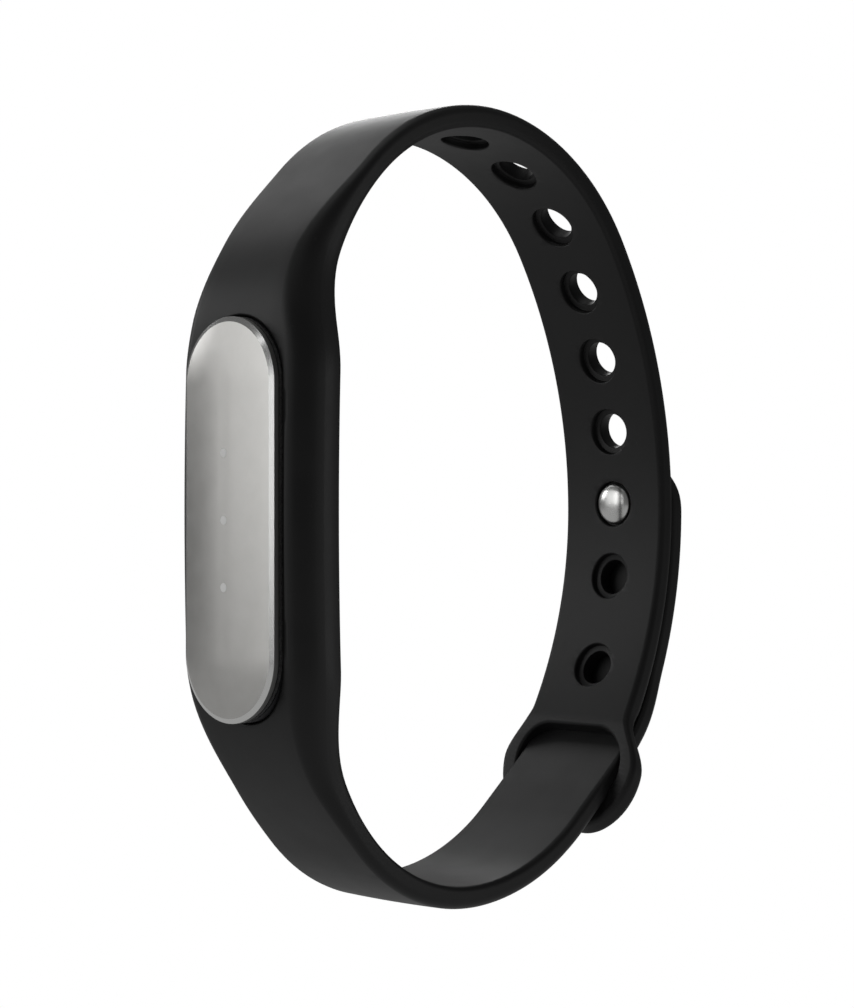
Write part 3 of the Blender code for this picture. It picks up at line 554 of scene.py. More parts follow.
def boss_ring(outset, height=None):
    """An outline of the smaller window, on the ledge or at a height over the wrist face."""
    ring = []
    for x, z in stadium(BOSS_WIDTH + 2 * (GAP + outset), BOSS_LENGTH + 2 * (GAP + outset)):
        z -= CAPSULE_DROP
        ring.append(Vector((x, LEDGE_Y if height is None else face_y(x, z, False) + height, z)))
    return ring


outlines = [lip_ring(outset, height) for outset, height in mouth(LIP_FILLET)]
for inset in (0.0, LEDGE_ROUND):
    outlines.append([Vector((x, LEDGE_Y - LEDGE_ROUND + inset, z - CAPSULE_DROP))
                     for x, z in capsule_outline(SNUG - inset)])
outlines.append(boss_ring(0.0))
outlines += [boss_ring(outset, height) for outset, height in reversed(mouth(BOSS_MOUTH))]
skin(outlines, work=band_cuts)
band = piece("rubber_band", band_work)
carve(band, band_cuts)
print("main moulding:", len(band.data.polygons), "faces after cutting")

# %% [markdown]
# ## The lower strap and its tail
# From the seam the lower strap runs up the back of the wrist, rises through the loop, and lies
# outside the upper strap with a hair's gap. Its tip is a half circle, where the rings use their
# distance from the outline, so the edge keeps the same rounding all the way round.

# %% The rings of the tail
TAIL_WIDTH = 12.0 * MM
TAIL_THICKNESS = 1.9 * MM
TAIL_LIFT = STRAP_THICKNESS + GAP
TIP_S = STUD_S - 5.2 * MM
CROSS_START = LOOP_S + 11.5 * MM
CROSS_END = LOOP_S - 5.0 * MM
ROUND_S = TIP_S + TAIL_WIDTH / 2
NARROW_LENGTH = 7 * MM
TIP_THINNED, TIP_THINNING = 0.8 * MM, 4.5 * MM
TIP_STEPS, TIP_TURN = 18, 89.6  # the tip's last ring stops just short of a point


def tail_shape(s):
    """Sizes of the ring at s; risen is 1 where it lies outside the upper strap."""
    shape = strap_shape(s)
    risen = ease((CROSS_START - s) / (CROSS_START - CROSS_END))
    narrowed = ease((LOOP_S - s) / NARROW_LENGTH)
    half = (STRAP_WIDTH + (TAIL_WIDTH - STRAP_WIDTH) * narrowed) / 2
    if s < ROUND_S:
        half = math.sqrt(max(half * half - (ROUND_S - s) ** 2, (0.3 * MM) ** 2))
    thick = STRAP_THICKNESS + (TAIL_THICKNESS - STRAP_THICKNESS) * risen
    thick -= TIP_THINNED * (1 - ease((s - TIP_S) / TIP_THINNING))
    outer = min(STRAP_EDGE - 0.2 * MM * risen, half * 0.9)
    inner = min((0.55 - 0.1 * risen) * MM, half * 0.9)
    shape.update(half=half, lift=TAIL_LIFT * risen, outer=outer, outer_depth=outer, thick=thick,
                 inner=inner, inner_depth=inner,
                 crown=STRAP_CROWN * min(1.0, 2 * half / TAIL_WIDTH))
    return shape


def tail_inset(s, x):
    if s >= ROUND_S:
        return tail_shape(s)["half"] - abs(x)
    return TAIL_WIDTH / 2 - math.hypot(x, ROUND_S - s)


tail_stations = [SEAM_S - before for before in reversed(SEAM_STEPS)]
tail_stations += stations(tail_stations[-1], ROUND_S, 0.6 * MM)[1:]
for step in range(1, TIP_STEPS + 1):
    tail_stations.append(ROUND_S - TAIL_WIDTH / 2 * math.sin(math.radians(TIP_TURN * step / TIP_STEPS)))
rings = [ring_at(s, tail_shape(s), tail_inset) for s in tail_stations]
tail = piece("rubber_tail", skin(rings))
print("rings in the tail:", len(rings))

# %% [markdown]
# ## The seat of the button
# The stud's post goes through the tail, and a round metal button is riveted on outside. It sits
# in a shallow seat, cut like the holes.

# %% Cut the post hole and the seat
BUTTON_RADIUS = 2.8 * MM
POST_RADIUS = 1.1 * MM
SEAT_DEPTH = 0.45 * MM
SEAT_ROUND = 0.08 * MM
SEAT_MOUTH = 0.15 * MM
seat, post_hole = BUTTON_RADIUS + GAP, POST_RADIUS + GAP
tail_face = TAIL_LIFT + TAIL_THICKNESS + STRAP_CROWN
seat_floor = TAIL_LIFT + TAIL_THICKNESS - SEAT_DEPTH
profile = [(seat + outset, tail_face + height) for outset, height in mouth(SEAT_MOUTH)]
profile += [(seat, seat_floor + SEAT_ROUND), (seat - SEAT_ROUND, seat_floor),
            (post_hole, seat_floor), (post_hole, TAIL_LIFT - SEAT_MOUTH)]
carve(tail, skin(round_cuts(STUD_S, profile, 56)))
print("tail:", len(tail.data.polygons), "faces")

# %% [markdown]
# ## The metal face
# The face is a pressed metal stadium, crowned like a shallow pillow, with a narrow bevel cut round
# its rim. Rings of the same outline, each a little smaller and higher, give both.

# %% The metal face
BEVEL_WIDTH = 0.46 * MM
BEVEL_RISE = 0.23 * MM
CROWN_RISE = 0.45 * MM
PLATE_WIDTH = 12.1 * MM
BREAK = 0.02 * MM               # the sharp outer edge is just broken
(_, PLATE_TOP_Y, _), (_, PLATE_BACK_Y, _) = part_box("top_plate")
BEVEL_TOP_Y = PLATE_TOP_Y + CROWN_RISE
PLATE_RIM_Y = BEVEL_TOP_Y + BEVEL_RISE
half_plate = PLATE_WIDTH / 2

levels = [(0.0, PLATE_BACK_Y), (0.0, PLATE_RIM_Y + 2 * BREAK), (BREAK, PLATE_RIM_Y),
          (BEVEL_WIDTH, BEVEL_TOP_Y)]
for step in range(11):
    part = 0.02 + 0.035 * step + 0.005 * step ** 2      # steps that widen towards the middle
    inset = BEVEL_WIDTH + (half_plate - BEVEL_WIDTH) * part
    levels.append((inset, BEVEL_TOP_Y - CROWN_RISE * (1 - (1 - part) ** 2)))
rings = [[Vector((x, y, z - CAPSULE_DROP))
          for x, z in stadium(PLATE_WIDTH - 2 * inset, CAPSULE_LENGTH - 2 * inset, 40)]
         for inset, y in levels]
plate = piece("metal_face", skin(rings), 11)
print("metal face:", len(plate.data.polygons), "faces, crown", round(CROWN_RISE / MM, 2), "mm")

# %% [markdown]
# ## Three light windows
# Three tiny holes in the metal let the status lights through. Each is closed by a frosted window,
# flush with the metal, so with the lights off it shows only as a slightly paler dot.

# %% Light holes and their windows
LIGHT_PITCH = 6.0 * MM
LIGHT_RADIUS = 0.42 * MM
PANE_GAP = 0.008 * MM           # between a window and the metal
PANE_THICKNESS = 0.12 * MM
PANE_DOME = [(0.05 * MM, 0.012 * MM), (LIGHT_RADIUS * 0.6, 0.01 * MM),
             (LIGHT_RADIUS - 0.02 * MM, 0.004 * MM), (LIGHT_RADIUS - PANE_GAP, -0.01 * MM)]


def turned(profile, foot, axis, steps=64, work=None):
    """Rings of (radius, height) about an axis, closed at both ends."""
    turn = axis.to_track_quat("Z", "Y").to_matrix()
    rings = []
    for radius, height in profile:
        rings.append([foot + turn @ Vector((radius * math.cos(angle), radius * math.sin(angle), height))
                      for angle in (2 * math.pi * step / steps for step in range(steps))])
    return skin(rings, work=work)


FORWARD = Vector((0, -1, 0))
holes, windows = bmesh.new(), bmesh.new()
for index in (-1, 0, 1):
    foot = Vector((0, PLATE_TOP_Y, index * LIGHT_PITCH - CAPSULE_DROP))
    turned([(LIGHT_RADIUS, MM), (LIGHT_RADIUS, -MM)], foot, FORWARD, 32, holes)
    turned(PANE_DOME + [(LIGHT_RADIUS - PANE_GAP, -PANE_THICKNESS)], foot, FORWARD, 32, windows)
carve(plate, holes, 11)
light_windows = piece("light_windows", windows)
print("three light windows of", round(2 * LIGHT_RADIUS / MM, 2), "mm")

# %% [markdown]
# ## The stud and the button
# Both are turned from steel bar. The stud is polished into a low dome on the wrist side, and its
# post ends in a spigot that is riveted into the button. A turned piece is a profile swept about
# its axis; the profiles have small radii where the tool leaves them.

# %% Turn the stud and the button
STUD_RADIUS = 2.1 * MM
HEAD_EDGE = 0.28 * MM           # depth at which the dome meets the head's straight rim
HEAD_UNDER = RECESS_DEPTH - 0.15 * MM
HEAD_ROUND = 0.08 * MM
POST_FILLET = 0.12 * MM
POST_CHAMFER = 0.1 * MM
SPIGOT = 0.15 * MM              # the riveted end stops this far before the button
BUTTON_THICKNESS = 0.8 * MM
DOME_STEPS = 14
stud_foot, stud_axis = place(STUD_S), outward(STUD_S)
dome_height = stud_foot.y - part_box("clasp_stud")[0][1]
button_back = seat_floor + GAP
post_end = button_back - SPIGOT

profile = [(0.02 * MM, post_end), (POST_RADIUS - POST_CHAMFER, post_end),
           (POST_RADIUS, post_end - POST_CHAMFER), (POST_RADIUS, HEAD_UNDER + POST_FILLET),
           (POST_RADIUS + POST_FILLET, HEAD_UNDER), (STUD_RADIUS - HEAD_ROUND, HEAD_UNDER),
           (STUD_RADIUS, HEAD_UNDER - HEAD_ROUND)]
for step in range(DOME_STEPS + 1):
    angle = math.radians(89.0 * step / DOME_STEPS)
    profile.append((STUD_RADIUS * math.cos(angle),
                    HEAD_EDGE - (HEAD_EDGE + dome_height) * math.sin(angle)))
stud = piece("clasp_dome", turned(profile, stud_foot, stud_axis, 72))

BUTTON_CROWN = [(2.70, -0.03), (1.60, -0.025), (0.45, 0.0), (0.28, 0.03), (0.14, 0.10),
                (0.04, 0.20), (0.0, 0.32)]      # mm in from the rim, mm down from the face
profile = [(BUTTON_RADIUS - inset * MM, button_back + BUTTON_THICKNESS - down * MM)
           for inset, down in BUTTON_CROWN]
profile += [(BUTTON_RADIUS, button_back + 0.06 * MM), (BUTTON_RADIUS - 0.06 * MM, button_back),
            (POST_RADIUS, button_back), (0.1 * MM, button_back)]
button = piece("clasp_rivet", turned(profile, stud_foot, stud_axis, 72))
print(f"dome {dome_height / MM:.2f} mm proud, button {2 * BUTTON_RADIUS / MM:.1f} mm across")

# %% [markdown]
# ## Wiring shader nodes as sums
# A finish is easier to read as arithmetic than as a drawing of boxes. Wire gives one socket
# Python's operators, so 1 - mask adds a Math node. Every other node comes from one method: its
# type, its settings, and what its sockets hold or are linked to.


# %% The wire, the tree and the finish
class Wire:
    """A socket that can be used in sums."""

    def __init__(self, tree, socket):
        self.tree, self.socket = tree, socket

    def math(self, operation, first, second):
        return self.tree.node("ShaderNodeMath", {"operation": operation}, {0: first, 1: second})

    def __add__(self, other):
        return self.math("ADD", self, other)

    def __sub__(self, other):
        return self.math("SUBTRACT", self, other)

    def __rsub__(self, other):
        return self.math("SUBTRACT", other, self)

    def __mul__(self, other):
        return self.math("MULTIPLY", self, other)

    def __gt__(self, other):
        return self.math("GREATER_THAN", self, other)

    __radd__ = __add__
    __rmul__ = __mul__


class Tree:
    """Shader nodes that are added by one method."""

    def __init__(self, nodes_of):
        nodes_of.use_nodes = True
        self.tree = nodes_of.node_tree

    def fill(self, socket, value):
        """Set or link one socket."""
        if isinstance(value, Wire):
            self.tree.links.new(value.socket, socket)
        else:
            socket.default_value = value

    def node(self, kind, settings=None, sockets=None, out=None):
        """Add a node: settings first, then socket values or links; gives one output."""
        made = self.tree.nodes.new(kind)
        for name, value in (settings or {}).items():
            setattr(made, name, value)
        for name, value in (sockets or {}).items():
            named = [socket for socket in made.inputs if socket.enabled and socket.name == name]
            self.fill(named[0] if named else made.inputs[name], value)
        return Wire(self, [socket for socket in made.outputs
                           if socket.enabled and out in (None, socket.name)][0])


class Finish(Tree):
    """A material with one main shader."""

    def __init__(self, name, **fixed):
        self.material = bpy.data.materials.new(name)
        super().__init__(self.material)
        self.shader = self.tree.nodes["Principled BSDF"]
        for socket, value in fixed.items():
            self.feed(socket.replace("_", " "), value)

    def feed(self, socket, value):
        """Set or link one socket of the main shader."""
        self.fill(self.shader.inputs[socket], value)


print("wire operators: + - * >")

# %% [markdown]
# ## Words that the finishes share
# Most surfaces need the same few things: a place in space, a noise, cells, a blend of two colours
# and a bump. The bump's distance is in metres, so it can be the real height of a grain.


# %% Shared steps of a finish
def where(finish):
    return finish.node("ShaderNodeTexCoord", out="Object")


def stretched(finish, scale):
    """Coordinates multiplied by a vector, to draw a texture out along one direction."""
    return finish.node("ShaderNodeVectorMath", {"operation": "MULTIPLY"}, {0: where(finish), 1: scale})


def noise(finish, size, detail=2.0, rough=0.5, vector=None):
    """Noise whose blotches are about `size` metres across, from 0 to 1."""
    return finish.node("ShaderNodeTexNoise", {"noise_dimensions": "3D"},
                       {"Vector": vector or where(finish), "Scale": 1.0 / size, "Detail": detail,
                        "Roughness": rough})


def cells(finish, size):
    """Distance from the middles of cells about `size` metres across."""
    return finish.node("ShaderNodeTexVoronoi", {"feature": "F1"},
                       {"Vector": where(finish), "Scale": 1.0 / size})


def spread(finish, value, low, high):
    """Stretch a narrow range of values to 0..1, with soft ends."""
    return finish.node("ShaderNodeMapRange", {"interpolation_type": "SMOOTHSTEP"},
                       {"Value": value, "From Min": low, "From Max": high})


def mixed(finish, first, second, factor):
    """Blend two colours."""
    as_colour = [value if isinstance(value, Wire) else (*value, 1.0) for value in (first, second)]
    return finish.node("ShaderNodeMix", {"data_type": "RGBA"},
                       {"Factor": factor, "A": as_colour[0], "B": as_colour[1]})


def coat(made, slot, *finishes):
    """Give a new piece its materials; the slot argument is not used."""
    made.data.materials.clear()
    for finish in finishes:
        made.data.materials.append(finish.material)
    print(made.name, "->", ", ".join(finish.material.name for finish in finishes))


def bumped(finish, height, distance, strength=1.0, under=None):
    """A bump from a height of 0 to 1 that stands for `distance` metres."""
    sockets = {"Height": height, "Distance": distance, "Strength": strength}
    if under is not None:
        sockets["Normal"] = under
    return finish.node("ShaderNodeBump", None, sockets)


print("shared steps: where, stretched, noise, cells, spread, mixed, bumped, coat")

# %% [markdown]
# ## Soft black rubber
# The strap is an elastomer moulded against a finely blasted mould, so it is satin, not glossy:
# broad dim highlights, almost no colour, and a faint grey bloom of skin oil and dust. Its grain
# is a few hundredths of a millimetre, and larger blotches only change how rough it is.


# %% The rubber's finish
rubber = Finish("satin_rubber", Specular_IOR_Level=0.26)
grain = noise(rubber, 0.09 * MM, 3.0, 0.6)
blotch = noise(rubber, 2.6 * MM, 3.0, 0.55)
bloom = spread(rubber, noise(rubber, 6.5 * MM, 2.0), 0.42, 0.72)
specks = spread(rubber, noise(rubber, 0.35 * MM, 1.0), 0.74, 0.80)
colour = mixed(rubber, (0.0062, 0.0062, 0.0064), (0.0082, 0.0082, 0.0083), bloom)
rubber.feed("Base Color", mixed(rubber, colour, (0.022, 0.022, 0.022), specks * 0.4))
rubber.feed("Roughness", 0.43 + blotch * 0.06 + bloom * 0.03 + specks * 0.1)
rubber.feed("Normal", bumped(rubber, grain + blotch * 0.5, 0.004 * MM, 0.35))
coat(band, "rubber", rubber)
coat(tail, "rubber", rubber)

# %% [markdown]
# ## Blasted and polished metal
# The face is struck with fine glass beads, which leaves tiny dents and a soft grey sheen. The
# bevel is cut with a diamond tool after that, so it is a second finish on the same piece, almost
# a mirror. The wall below it is left from the press, and its metal is painted darker as the shade
# of the rubber lip over it. A face's distance in from the rim decides.


# %% The face's finishes
blasted = Finish("blasted_metal", Metallic=1.0)
dents = noise(blasted, 0.075 * MM, 2.0, 0.6)
cloud = noise(blasted, 1.8 * MM, 3.0, 0.6)
blasted.feed("Base Color", mixed(blasted, (0.44, 0.435, 0.42), (0.50, 0.495, 0.48), cloud))
blasted.feed("Roughness", 0.27 + cloud * 0.05 + dents * 0.03)
blasted.feed("Normal", bumped(blasted, dents, 0.0035 * MM, 0.55))

# painted shade: the wall's metal is darker for the shade that the rubber lip casts on it
shaded_wall = Finish("painted_shade_wall", Metallic=1.0, Base_Color=(0.22, 0.22, 0.215, 1.0))
streaks = noise(shaded_wall, 0.08 * MM, 2.0, 0.5, stretched(shaded_wall, (1.0, 0.1, 1.0)))
shaded_wall.feed("Roughness", 0.45 + streaks * 0.14)

polished = Finish("polished_bevel", Metallic=1.0, Base_Color=(0.66, 0.66, 0.65, 1.0))
lines = noise(polished, 0.05 * MM, 2.0, 0.5, stretched(polished, (1.0, 1.0, 0.08)))
polished.feed("Roughness", 0.14 + lines * 0.08)
polished.feed("Normal", bumped(polished, lines, 0.0006 * MM, 0.4))
coat(plate, "plate_metal", blasted, polished, shaded_wall)


def rim_inset(x, z):
    """Distance in from the metal face's outline."""
    straight = CAPSULE_LENGTH / 2 - half_plate
    over = max(abs(z + CAPSULE_DROP) - straight, 0.0)
    return half_plate - math.hypot(x, over)


BLASTED, POLISHED, SHADED_WALL = range(3)
counts = [0, 0, 0]
for face in plate.data.polygons:
    inset = rim_inset(face.center.x, face.center.z)
    if inset < BREAK * 0.8 or face.normal.y > 0.9:      # the wall and the back
        face.material_index = SHADED_WALL
    else:
        face.material_index = BLASTED if inset > BEVEL_WIDTH * 0.9 else POLISHED
    counts[face.material_index] += 1
print("faces blasted, polished and pressed:", counts)

# %% [markdown]
# ## Turned steel and frosted windows
# The stud and the button are satin steel with a haze of fine scratches, which keeps the dome's
# highlight soft. The light windows are a pale resin that scatters light, so a diffuse surface
# with faint clouds is enough for lamps that are off.


# %% The clasp's finish
steel = Finish("clasp_steel", Metallic=1.0, Base_Color=(0.6, 0.6, 0.59, 1.0))
haze = noise(steel, 0.9 * MM, 3.0, 0.6)
scratches = noise(steel, 0.12 * MM, 2.0, 0.5, stretched(steel, (1.0, 1.0, 0.12)))
steel.feed("Roughness", 0.25 + haze * 0.06 + spread(steel, scratches, 0.6, 0.8) * 0.05)
steel.feed("Normal", bumped(steel, scratches, 0.0003 * MM, 0.2))
coat(stud, "clasp_metal", steel)
coat(button, "clasp_metal", steel)


# %% The light windows' finish
frosted = Finish("frosted_window", Roughness=0.45)
frosted.feed("Base Color", mixed(frosted, (0.68, 0.68, 0.67), (0.76, 0.76, 0.75),
                                 noise(frosted, 0.2 * MM)))
coat(light_windows, "clear_plastic", frosted)

# %% [markdown]
# ## The inside of the capsule
# The capsule slides out of the rubber, so its own pieces need finishes too. Their shapes are
# already right, so only their material slots change. dress puts one finish on the pieces that
# come from one process.


# %% Dress the pieces that stay
def dress(finish, *names):
    for name in names:
        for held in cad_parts[name].material_slots:
            held.material = finish.material
    print(finish.material.name, "->", ", ".join(names))


# %% [markdown]
# ## Shell, window plastic and foam
# The tub is moulded in a spark-eroded tool, so its matt texture is a field of tiny craters. The
# light guide and the lamps' lenses are a clear resin with a milky filler that spreads the light.
# The seal and the pad are die-cut from closed-cell foam, drawn as a Voronoi pattern.

# %% Moulded plastic
shell = Finish("eroded_black_plastic")
craters = noise(shell, 0.07 * MM, 3.0, 0.65)
flow = noise(shell, 3.0 * MM, 2.0, 0.5, stretched(shell, (1.0, 1.0, 0.3)))
shell.feed("Base Color", mixed(shell, (0.012, 0.012, 0.013), (0.022, 0.022, 0.024), flow))
shell.feed("Roughness", 0.42 + craters * 0.12 + flow * 0.05)
shell.feed("Normal", bumped(shell, craters, 0.008 * MM, 0.7))
dress(shell, "lower_shell")

milky = Finish("milky_resin", Transmission_Weight=0.55, IOR=1.5)
haze = noise(milky, 0.5 * MM, 3.0)
milky.feed("Base Color", mixed(milky, (0.74, 0.76, 0.77), (0.88, 0.89, 0.90), haze))
milky.feed("Roughness", 0.2 + haze * 0.15)
milky.feed("Normal", bumped(milky, noise(milky, 0.1 * MM), 0.002 * MM, 0.4))
dress(milky, "light_guide")

lens = Finish("lamp_resin", Transmission_Weight=0.3, IOR=1.5)
phosphor = spread(lens, noise(lens, 0.12 * MM, 2.0), 0.45, 0.65)
lens.feed("Base Color", mixed(lens, (0.88, 0.88, 0.84), (0.80, 0.76, 0.42), phosphor * 0.6))
lens.feed("Roughness", 0.1 + phosphor * 0.2)
dress(lens, "led_1", "led_2", "led_3")


# %% Cut foam
foam = Finish("cut_foam")
wall = spread(foam, cells(foam, 0.14 * MM), 0.25, 0.75)
foam.feed("Base Color", mixed(foam, (0.012, 0.012, 0.012), (0.055, 0.055, 0.055), wall))
foam.feed("Roughness", 0.8 + wall * 0.15)
foam.feed("Normal", bumped(foam, wall, 0.04 * MM, 0.8))
dress(foam, "foam_pad", "cover_seal")

# %% [markdown]
# ## The circuit board and its chips
# Under the green solder mask the copper tracks stand up a few hundredths of a millimetre and make
# it look lighter. Real tracks follow a layout; two crossed band patterns that a noise chooses
# between come close enough. Chips are moulded in black epoxy, and the antenna is a block of pale
# ceramic with printed silver lines.


# %% Solder mask over tracks
def tracks(finish, axis, pitch):
    """Parallel tracks, 1 on copper and 0 between."""
    bands = finish.node("ShaderNodeTexWave", {"wave_type": "BANDS", "bands_direction": axis},
                        {"Vector": where(finish), "Scale": 1 / (3.2 * pitch), "Distortion": 0.0})
    return spread(finish, bands, 0.55, 0.68)


mask = Finish("solder_mask")
field = noise(mask, 2.4 * MM, 1.0) > 0.5
copper = tracks(mask, "X", 0.5 * MM) * field + tracks(mask, "Z", 0.5 * MM) * (1 - field)
via = 1 - spread(mask, cells(mask, 1.3 * MM), 0.10, 0.14)
green = mixed(mask, (0.004, 0.045, 0.018), (0.012, 0.12, 0.045), copper)
mask.feed("Base Color", mixed(mask, green, (0.62, 0.45, 0.18), via))
mask.feed("Roughness", 0.3 + noise(mask, 0.3 * MM) * 0.1 + via * 0.1)
mask.feed("Metallic", via)
mask.feed("Normal", bumped(mask, copper, 0.03 * MM, 0.6))
dress(mask, "circuit_board", "battery_board")


# %% Epoxy and ceramic
epoxy = Finish("moulded_epoxy")
filler = noise(epoxy, 0.06 * MM, 3.0, 0.7)
glints = spread(epoxy, noise(epoxy, 0.1 * MM, 1.0), 0.72, 0.8)
epoxy.feed("Base Color", mixed(epoxy, (0.011, 0.011, 0.012), (0.05, 0.05, 0.05), glints * 0.5))
epoxy.feed("Roughness", 0.42 + filler * 0.2)
epoxy.feed("Normal", bumped(epoxy, filler, 0.006 * MM, 0.6))
dress(epoxy, "radio_chip", "motion_sensor", "charger_chip")

ceramic = Finish("antenna_ceramic")
printed = tracks(ceramic, "X", 0.8 * MM)
body = mixed(ceramic, (0.56, 0.53, 0.46), (0.66, 0.63, 0.56), noise(ceramic, 0.3 * MM, 3.0))
ceramic.feed("Base Color", mixed(ceramic, body, (0.72, 0.71, 0.68), printed))
ceramic.feed("Metallic", printed)
ceramic.feed("Roughness", 0.55 - printed * 0.25 + noise(ceramic, 0.08 * MM) * 0.08)
dress(ceramic, "antenna")

# %% [markdown]
# ## Plated and raw metals inside
# Contacts are gold over nickel so that sweat doesn't corrode them. Cans and tabs are nickel-plated
# steel strip, which keeps its rolling lines. The cell's pouch is a satin aluminium laminate that
# creases a little, and the motor's weight is pressed and sintered from heavy metal powder.


# %% Plated metals
def plated(name, colour, roughness, line_stretch, line_height):
    """Plating over a surface with fine lines along one direction."""
    metal = Finish(name, Metallic=1.0)
    lines = noise(metal, 0.06 * MM, 3.0, 0.6, stretched(metal, line_stretch))
    stain = spread(metal, noise(metal, 0.9 * MM, 2.0), 0.45, 0.75)
    dull = tuple(value * 0.8 for value in colour)
    metal.feed("Base Color", mixed(metal, colour, dull, stain * 0.6))
    metal.feed("Roughness", roughness + lines * 0.1 + stain * 0.06)
    metal.feed("Normal", bumped(metal, lines, line_height, 0.5))
    return metal


dress(plated("gold_plate", (0.83, 0.60, 0.22), 0.16, (1.0, 1.0, 0.15), 0.001 * MM),
      "contact_left", "contact_right", "contact_spring_left", "contact_spring_right")
dress(plated("nickel_plate", (0.60, 0.57, 0.53), 0.24, (0.1, 1.0, 1.0), 0.0012 * MM),
      "crystal", "battery_tab_negative", "battery_tab_positive", "motor_case", "motor_base")
dress(plated("ground_steel", (0.62, 0.62, 0.62), 0.14, (1.0, 0.1, 1.0), 0.0006 * MM), "motor_shaft")
dress(plated("magnet_plate", (0.20, 0.20, 0.21), 0.26, (1.0, 1.0, 1.0), 0.0015 * MM), "motor_magnet")


# %% Pouch foil and sintered metal
pouch = Finish("pouch_foil", Metallic=1.0)
creases = noise(pouch, 2.2 * MM, 4.0, 0.62)
emboss = noise(pouch, 0.12 * MM, 1.0)
pouch.feed("Base Color", mixed(pouch, (0.52, 0.53, 0.54), (0.66, 0.67, 0.68), creases))
pouch.feed("Roughness", 0.3 + emboss * 0.12)
pouch.feed("Normal", bumped(pouch, creases, 0.12 * MM, 0.5, bumped(pouch, emboss, 0.003 * MM, 0.5)))
dress(pouch, "battery_cell")

heavy = Finish("sintered_metal", Metallic=1.0)
grains = cells(heavy, 0.09 * MM)
heavy.feed("Base Color", mixed(heavy, (0.22, 0.22, 0.23), (0.36, 0.36, 0.37), grains))
heavy.feed("Roughness", 0.34 + spread(heavy, grains, 0.2, 0.7) * 0.16)
heavy.feed("Normal", bumped(heavy, grains, 0.006 * MM, 0.5))
dress(heavy, "motor_rotor")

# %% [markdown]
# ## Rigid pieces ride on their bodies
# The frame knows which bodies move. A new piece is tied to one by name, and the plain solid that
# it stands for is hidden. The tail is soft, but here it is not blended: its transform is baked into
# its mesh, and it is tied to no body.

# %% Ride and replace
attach(band, "band")
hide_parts("band")
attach(plate, "capsule")
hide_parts("top_plate")
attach(light_windows, "capsule")
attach(stud, "tail")
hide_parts("clasp_stud")
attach(button, "tail")
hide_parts("clasp_button")
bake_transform(tail)
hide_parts("tail_end")

# %% [markdown]
# ## The studio
# The band stands on a pale floor in front of a white backdrop. Both glow for the camera and are
# dim for everything else, because black rubber shows only what it reflects and would turn grey.

# %% Floor and backdrop
WHITE = (1.0, 1.0, 1.0, 1.0)
DIM = 0.15                      # how bright the surroundings are for everything but the camera

pale = Finish("pale_floor")     # white to the camera, dim to all else, with a painted pool of light under the band
away = pale.node("ShaderNodeVectorMath", {"operation": "LENGTH"}, {0: where(pale)}, "Value")
# painted pool of light: for everything but the camera the floor glows brighter near the band
light_pool = 1 - spread(pale, away, 0.12, 0.40)
glow = pale.node("ShaderNodeEmission", None, {"Color": WHITE, "Strength": 1.0})
dim = pale.node("ShaderNodeEmission", None, {"Color": WHITE, "Strength": DIM + light_pool * 0.3})
direct = pale.node("ShaderNodeLightPath", out="Is Camera Ray")
both = pale.node("ShaderNodeMixShader", None, {0: direct, 1: dim, 2: glow})
pale.fill(pale.tree.nodes["Material Output"].inputs["Surface"], both)

floor_work = bmesh.new()
bmesh.ops.create_circle(floor_work, cap_ends=True, segments=96, radius=1.6)
floor = piece("floor", floor_work)
floor.location = (0.0, 0.0, cad_box[0][2] - 0.05 * MM)
floor.data.materials.append(pale.material)

world = bpy.data.worlds.new("studio")
bpy.context.scene.world = world
sky = Tree(world)
direct = sky.node("ShaderNodeLightPath", out="Is Camera Ray")
backdrop = sky.tree.nodes["Background"].inputs
sky.fill(backdrop["Color"], WHITE)
sky.fill(backdrop["Strength"], sky.node("ShaderNodeMapRange", None,
                                        {"Value": direct, "To Min": DIM, "To Max": 1.0}))
bpy.context.scene.view_settings.view_transform = "Standard"
print("floor at z =", round(floor.location.z / MM, 2), "mm")

# %% [markdown]
# ## Soft boxes
# A shiny black or metal surface is lit by what it mirrors, so each box stands where one surface
# mirrors it: two tall ones at the front left for the metal face, a strip further right for its
# cut bevel, small ones at the left and upper left for the dome and the upper strap, and a weak one
# overhead. The boxes for the band's shoulder and the cradle's flank are narrowed to a beam, so
# that they touch nothing else.


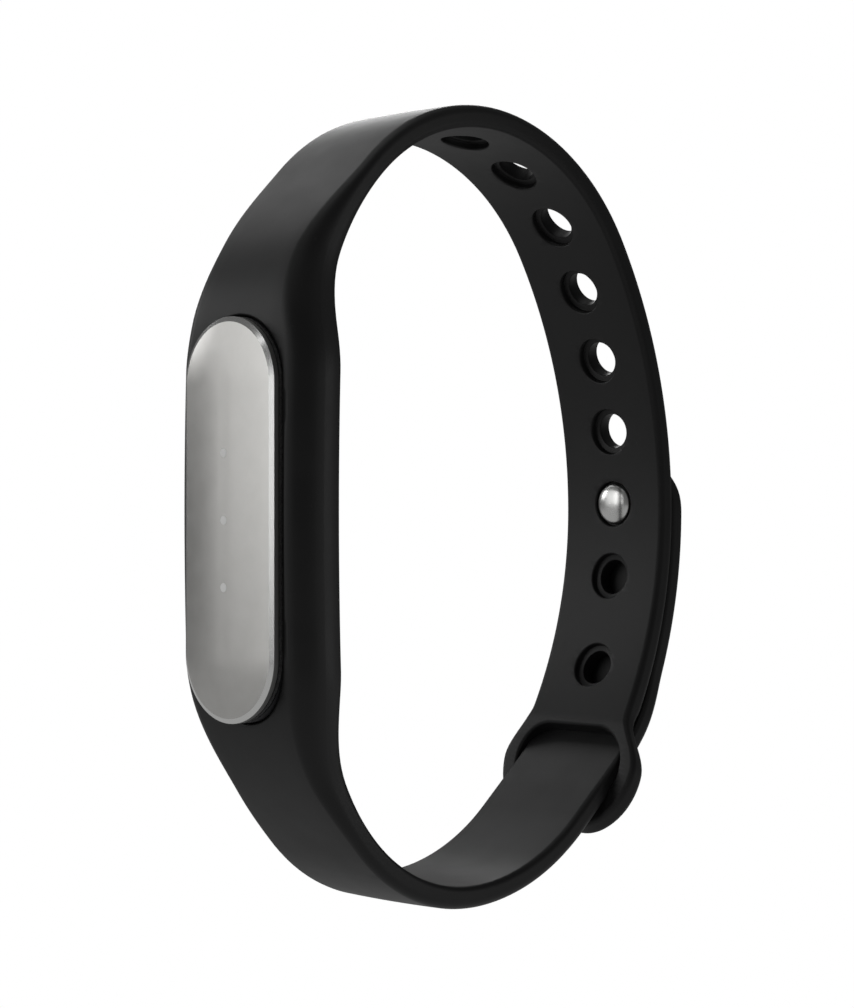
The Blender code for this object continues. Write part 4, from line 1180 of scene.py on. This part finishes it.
# %% Place the soft boxes
def soft_box(name, at, size, watts, aim=(0.0, 0.0, 0.0), beam_degrees=180):
    light = bpy.data.lights.new(name, "AREA")
    light.shape = "RECTANGLE"
    light.size, light.size_y = size
    light.energy = watts
    light.spread = math.radians(beam_degrees)
    made = bpy.data.objects.new(name, light)
    made.visible_camera = False
    bpy.context.scene.collection.objects.link(made)
    made.location = at
    made.rotation_euler = (Vector(aim) - Vector(at)).to_track_quat("-Z", "Y").to_euler()


soft_box("front", (-0.20, -0.62, 0.04), (0.20, 0.80), 1.1)
soft_box("front_left", (-0.42, -0.50, 0.02), (0.28, 0.80), 0.75)
soft_box("bevel_strip", (0.12, -0.66, 0.0), (0.06, 0.80), 0.42)
soft_box("left", (-0.54, -0.20, 0.18), (0.17, 0.17), 0.4)
soft_box("upper_left", (-0.42, 0.06, 0.43), (0.26, 0.26), 0.36)
soft_box("shoulder", (-0.16, 0.14, 0.12), (0.16, 0.09), 0.011, (0.0, -0.01, 0.036), 34)
soft_box("flank", (0.114, 0.086, 0.0), (0.026, 0.26), 0.0022, (0.008, -0.021, 0.0), 24)
soft_box("overhead", (0.0, -0.05, 0.75), (0.50, 0.50), 0.8)
print("lights:", len(bpy.data.lights))

# %% [markdown]
# ## The camera
# A long lens from the front right, level with the middle of the band, keeps the round opening
# nearly free of perspective.

# %% Camera
AZIMUTH, ELEVATION = math.radians(44.641), math.radians(0.063)
DISTANCE = 232.62 * MM
camera_data = bpy.data.cameras.new("camera")
camera_data.lens = 85.886
camera_data.sensor_width = 36.0
camera_data.clip_start = 0.01
camera = bpy.data.objects.new("camera", camera_data)
bpy.context.scene.collection.objects.link(camera)
target = Vector((0.0, 0.154 * MM, 0.677 * MM))
back = Vector((math.sin(AZIMUTH) * math.cos(ELEVATION), -math.cos(AZIMUTH) * math.cos(ELEVATION),
               math.sin(ELEVATION)))
camera.location = target + back * DISTANCE
camera.rotation_euler = (-back).to_track_quat("-Z", "Y").to_euler()
bpy.context.scene.camera = camera
print("camera at", [round(value, 4) for value in camera.location])
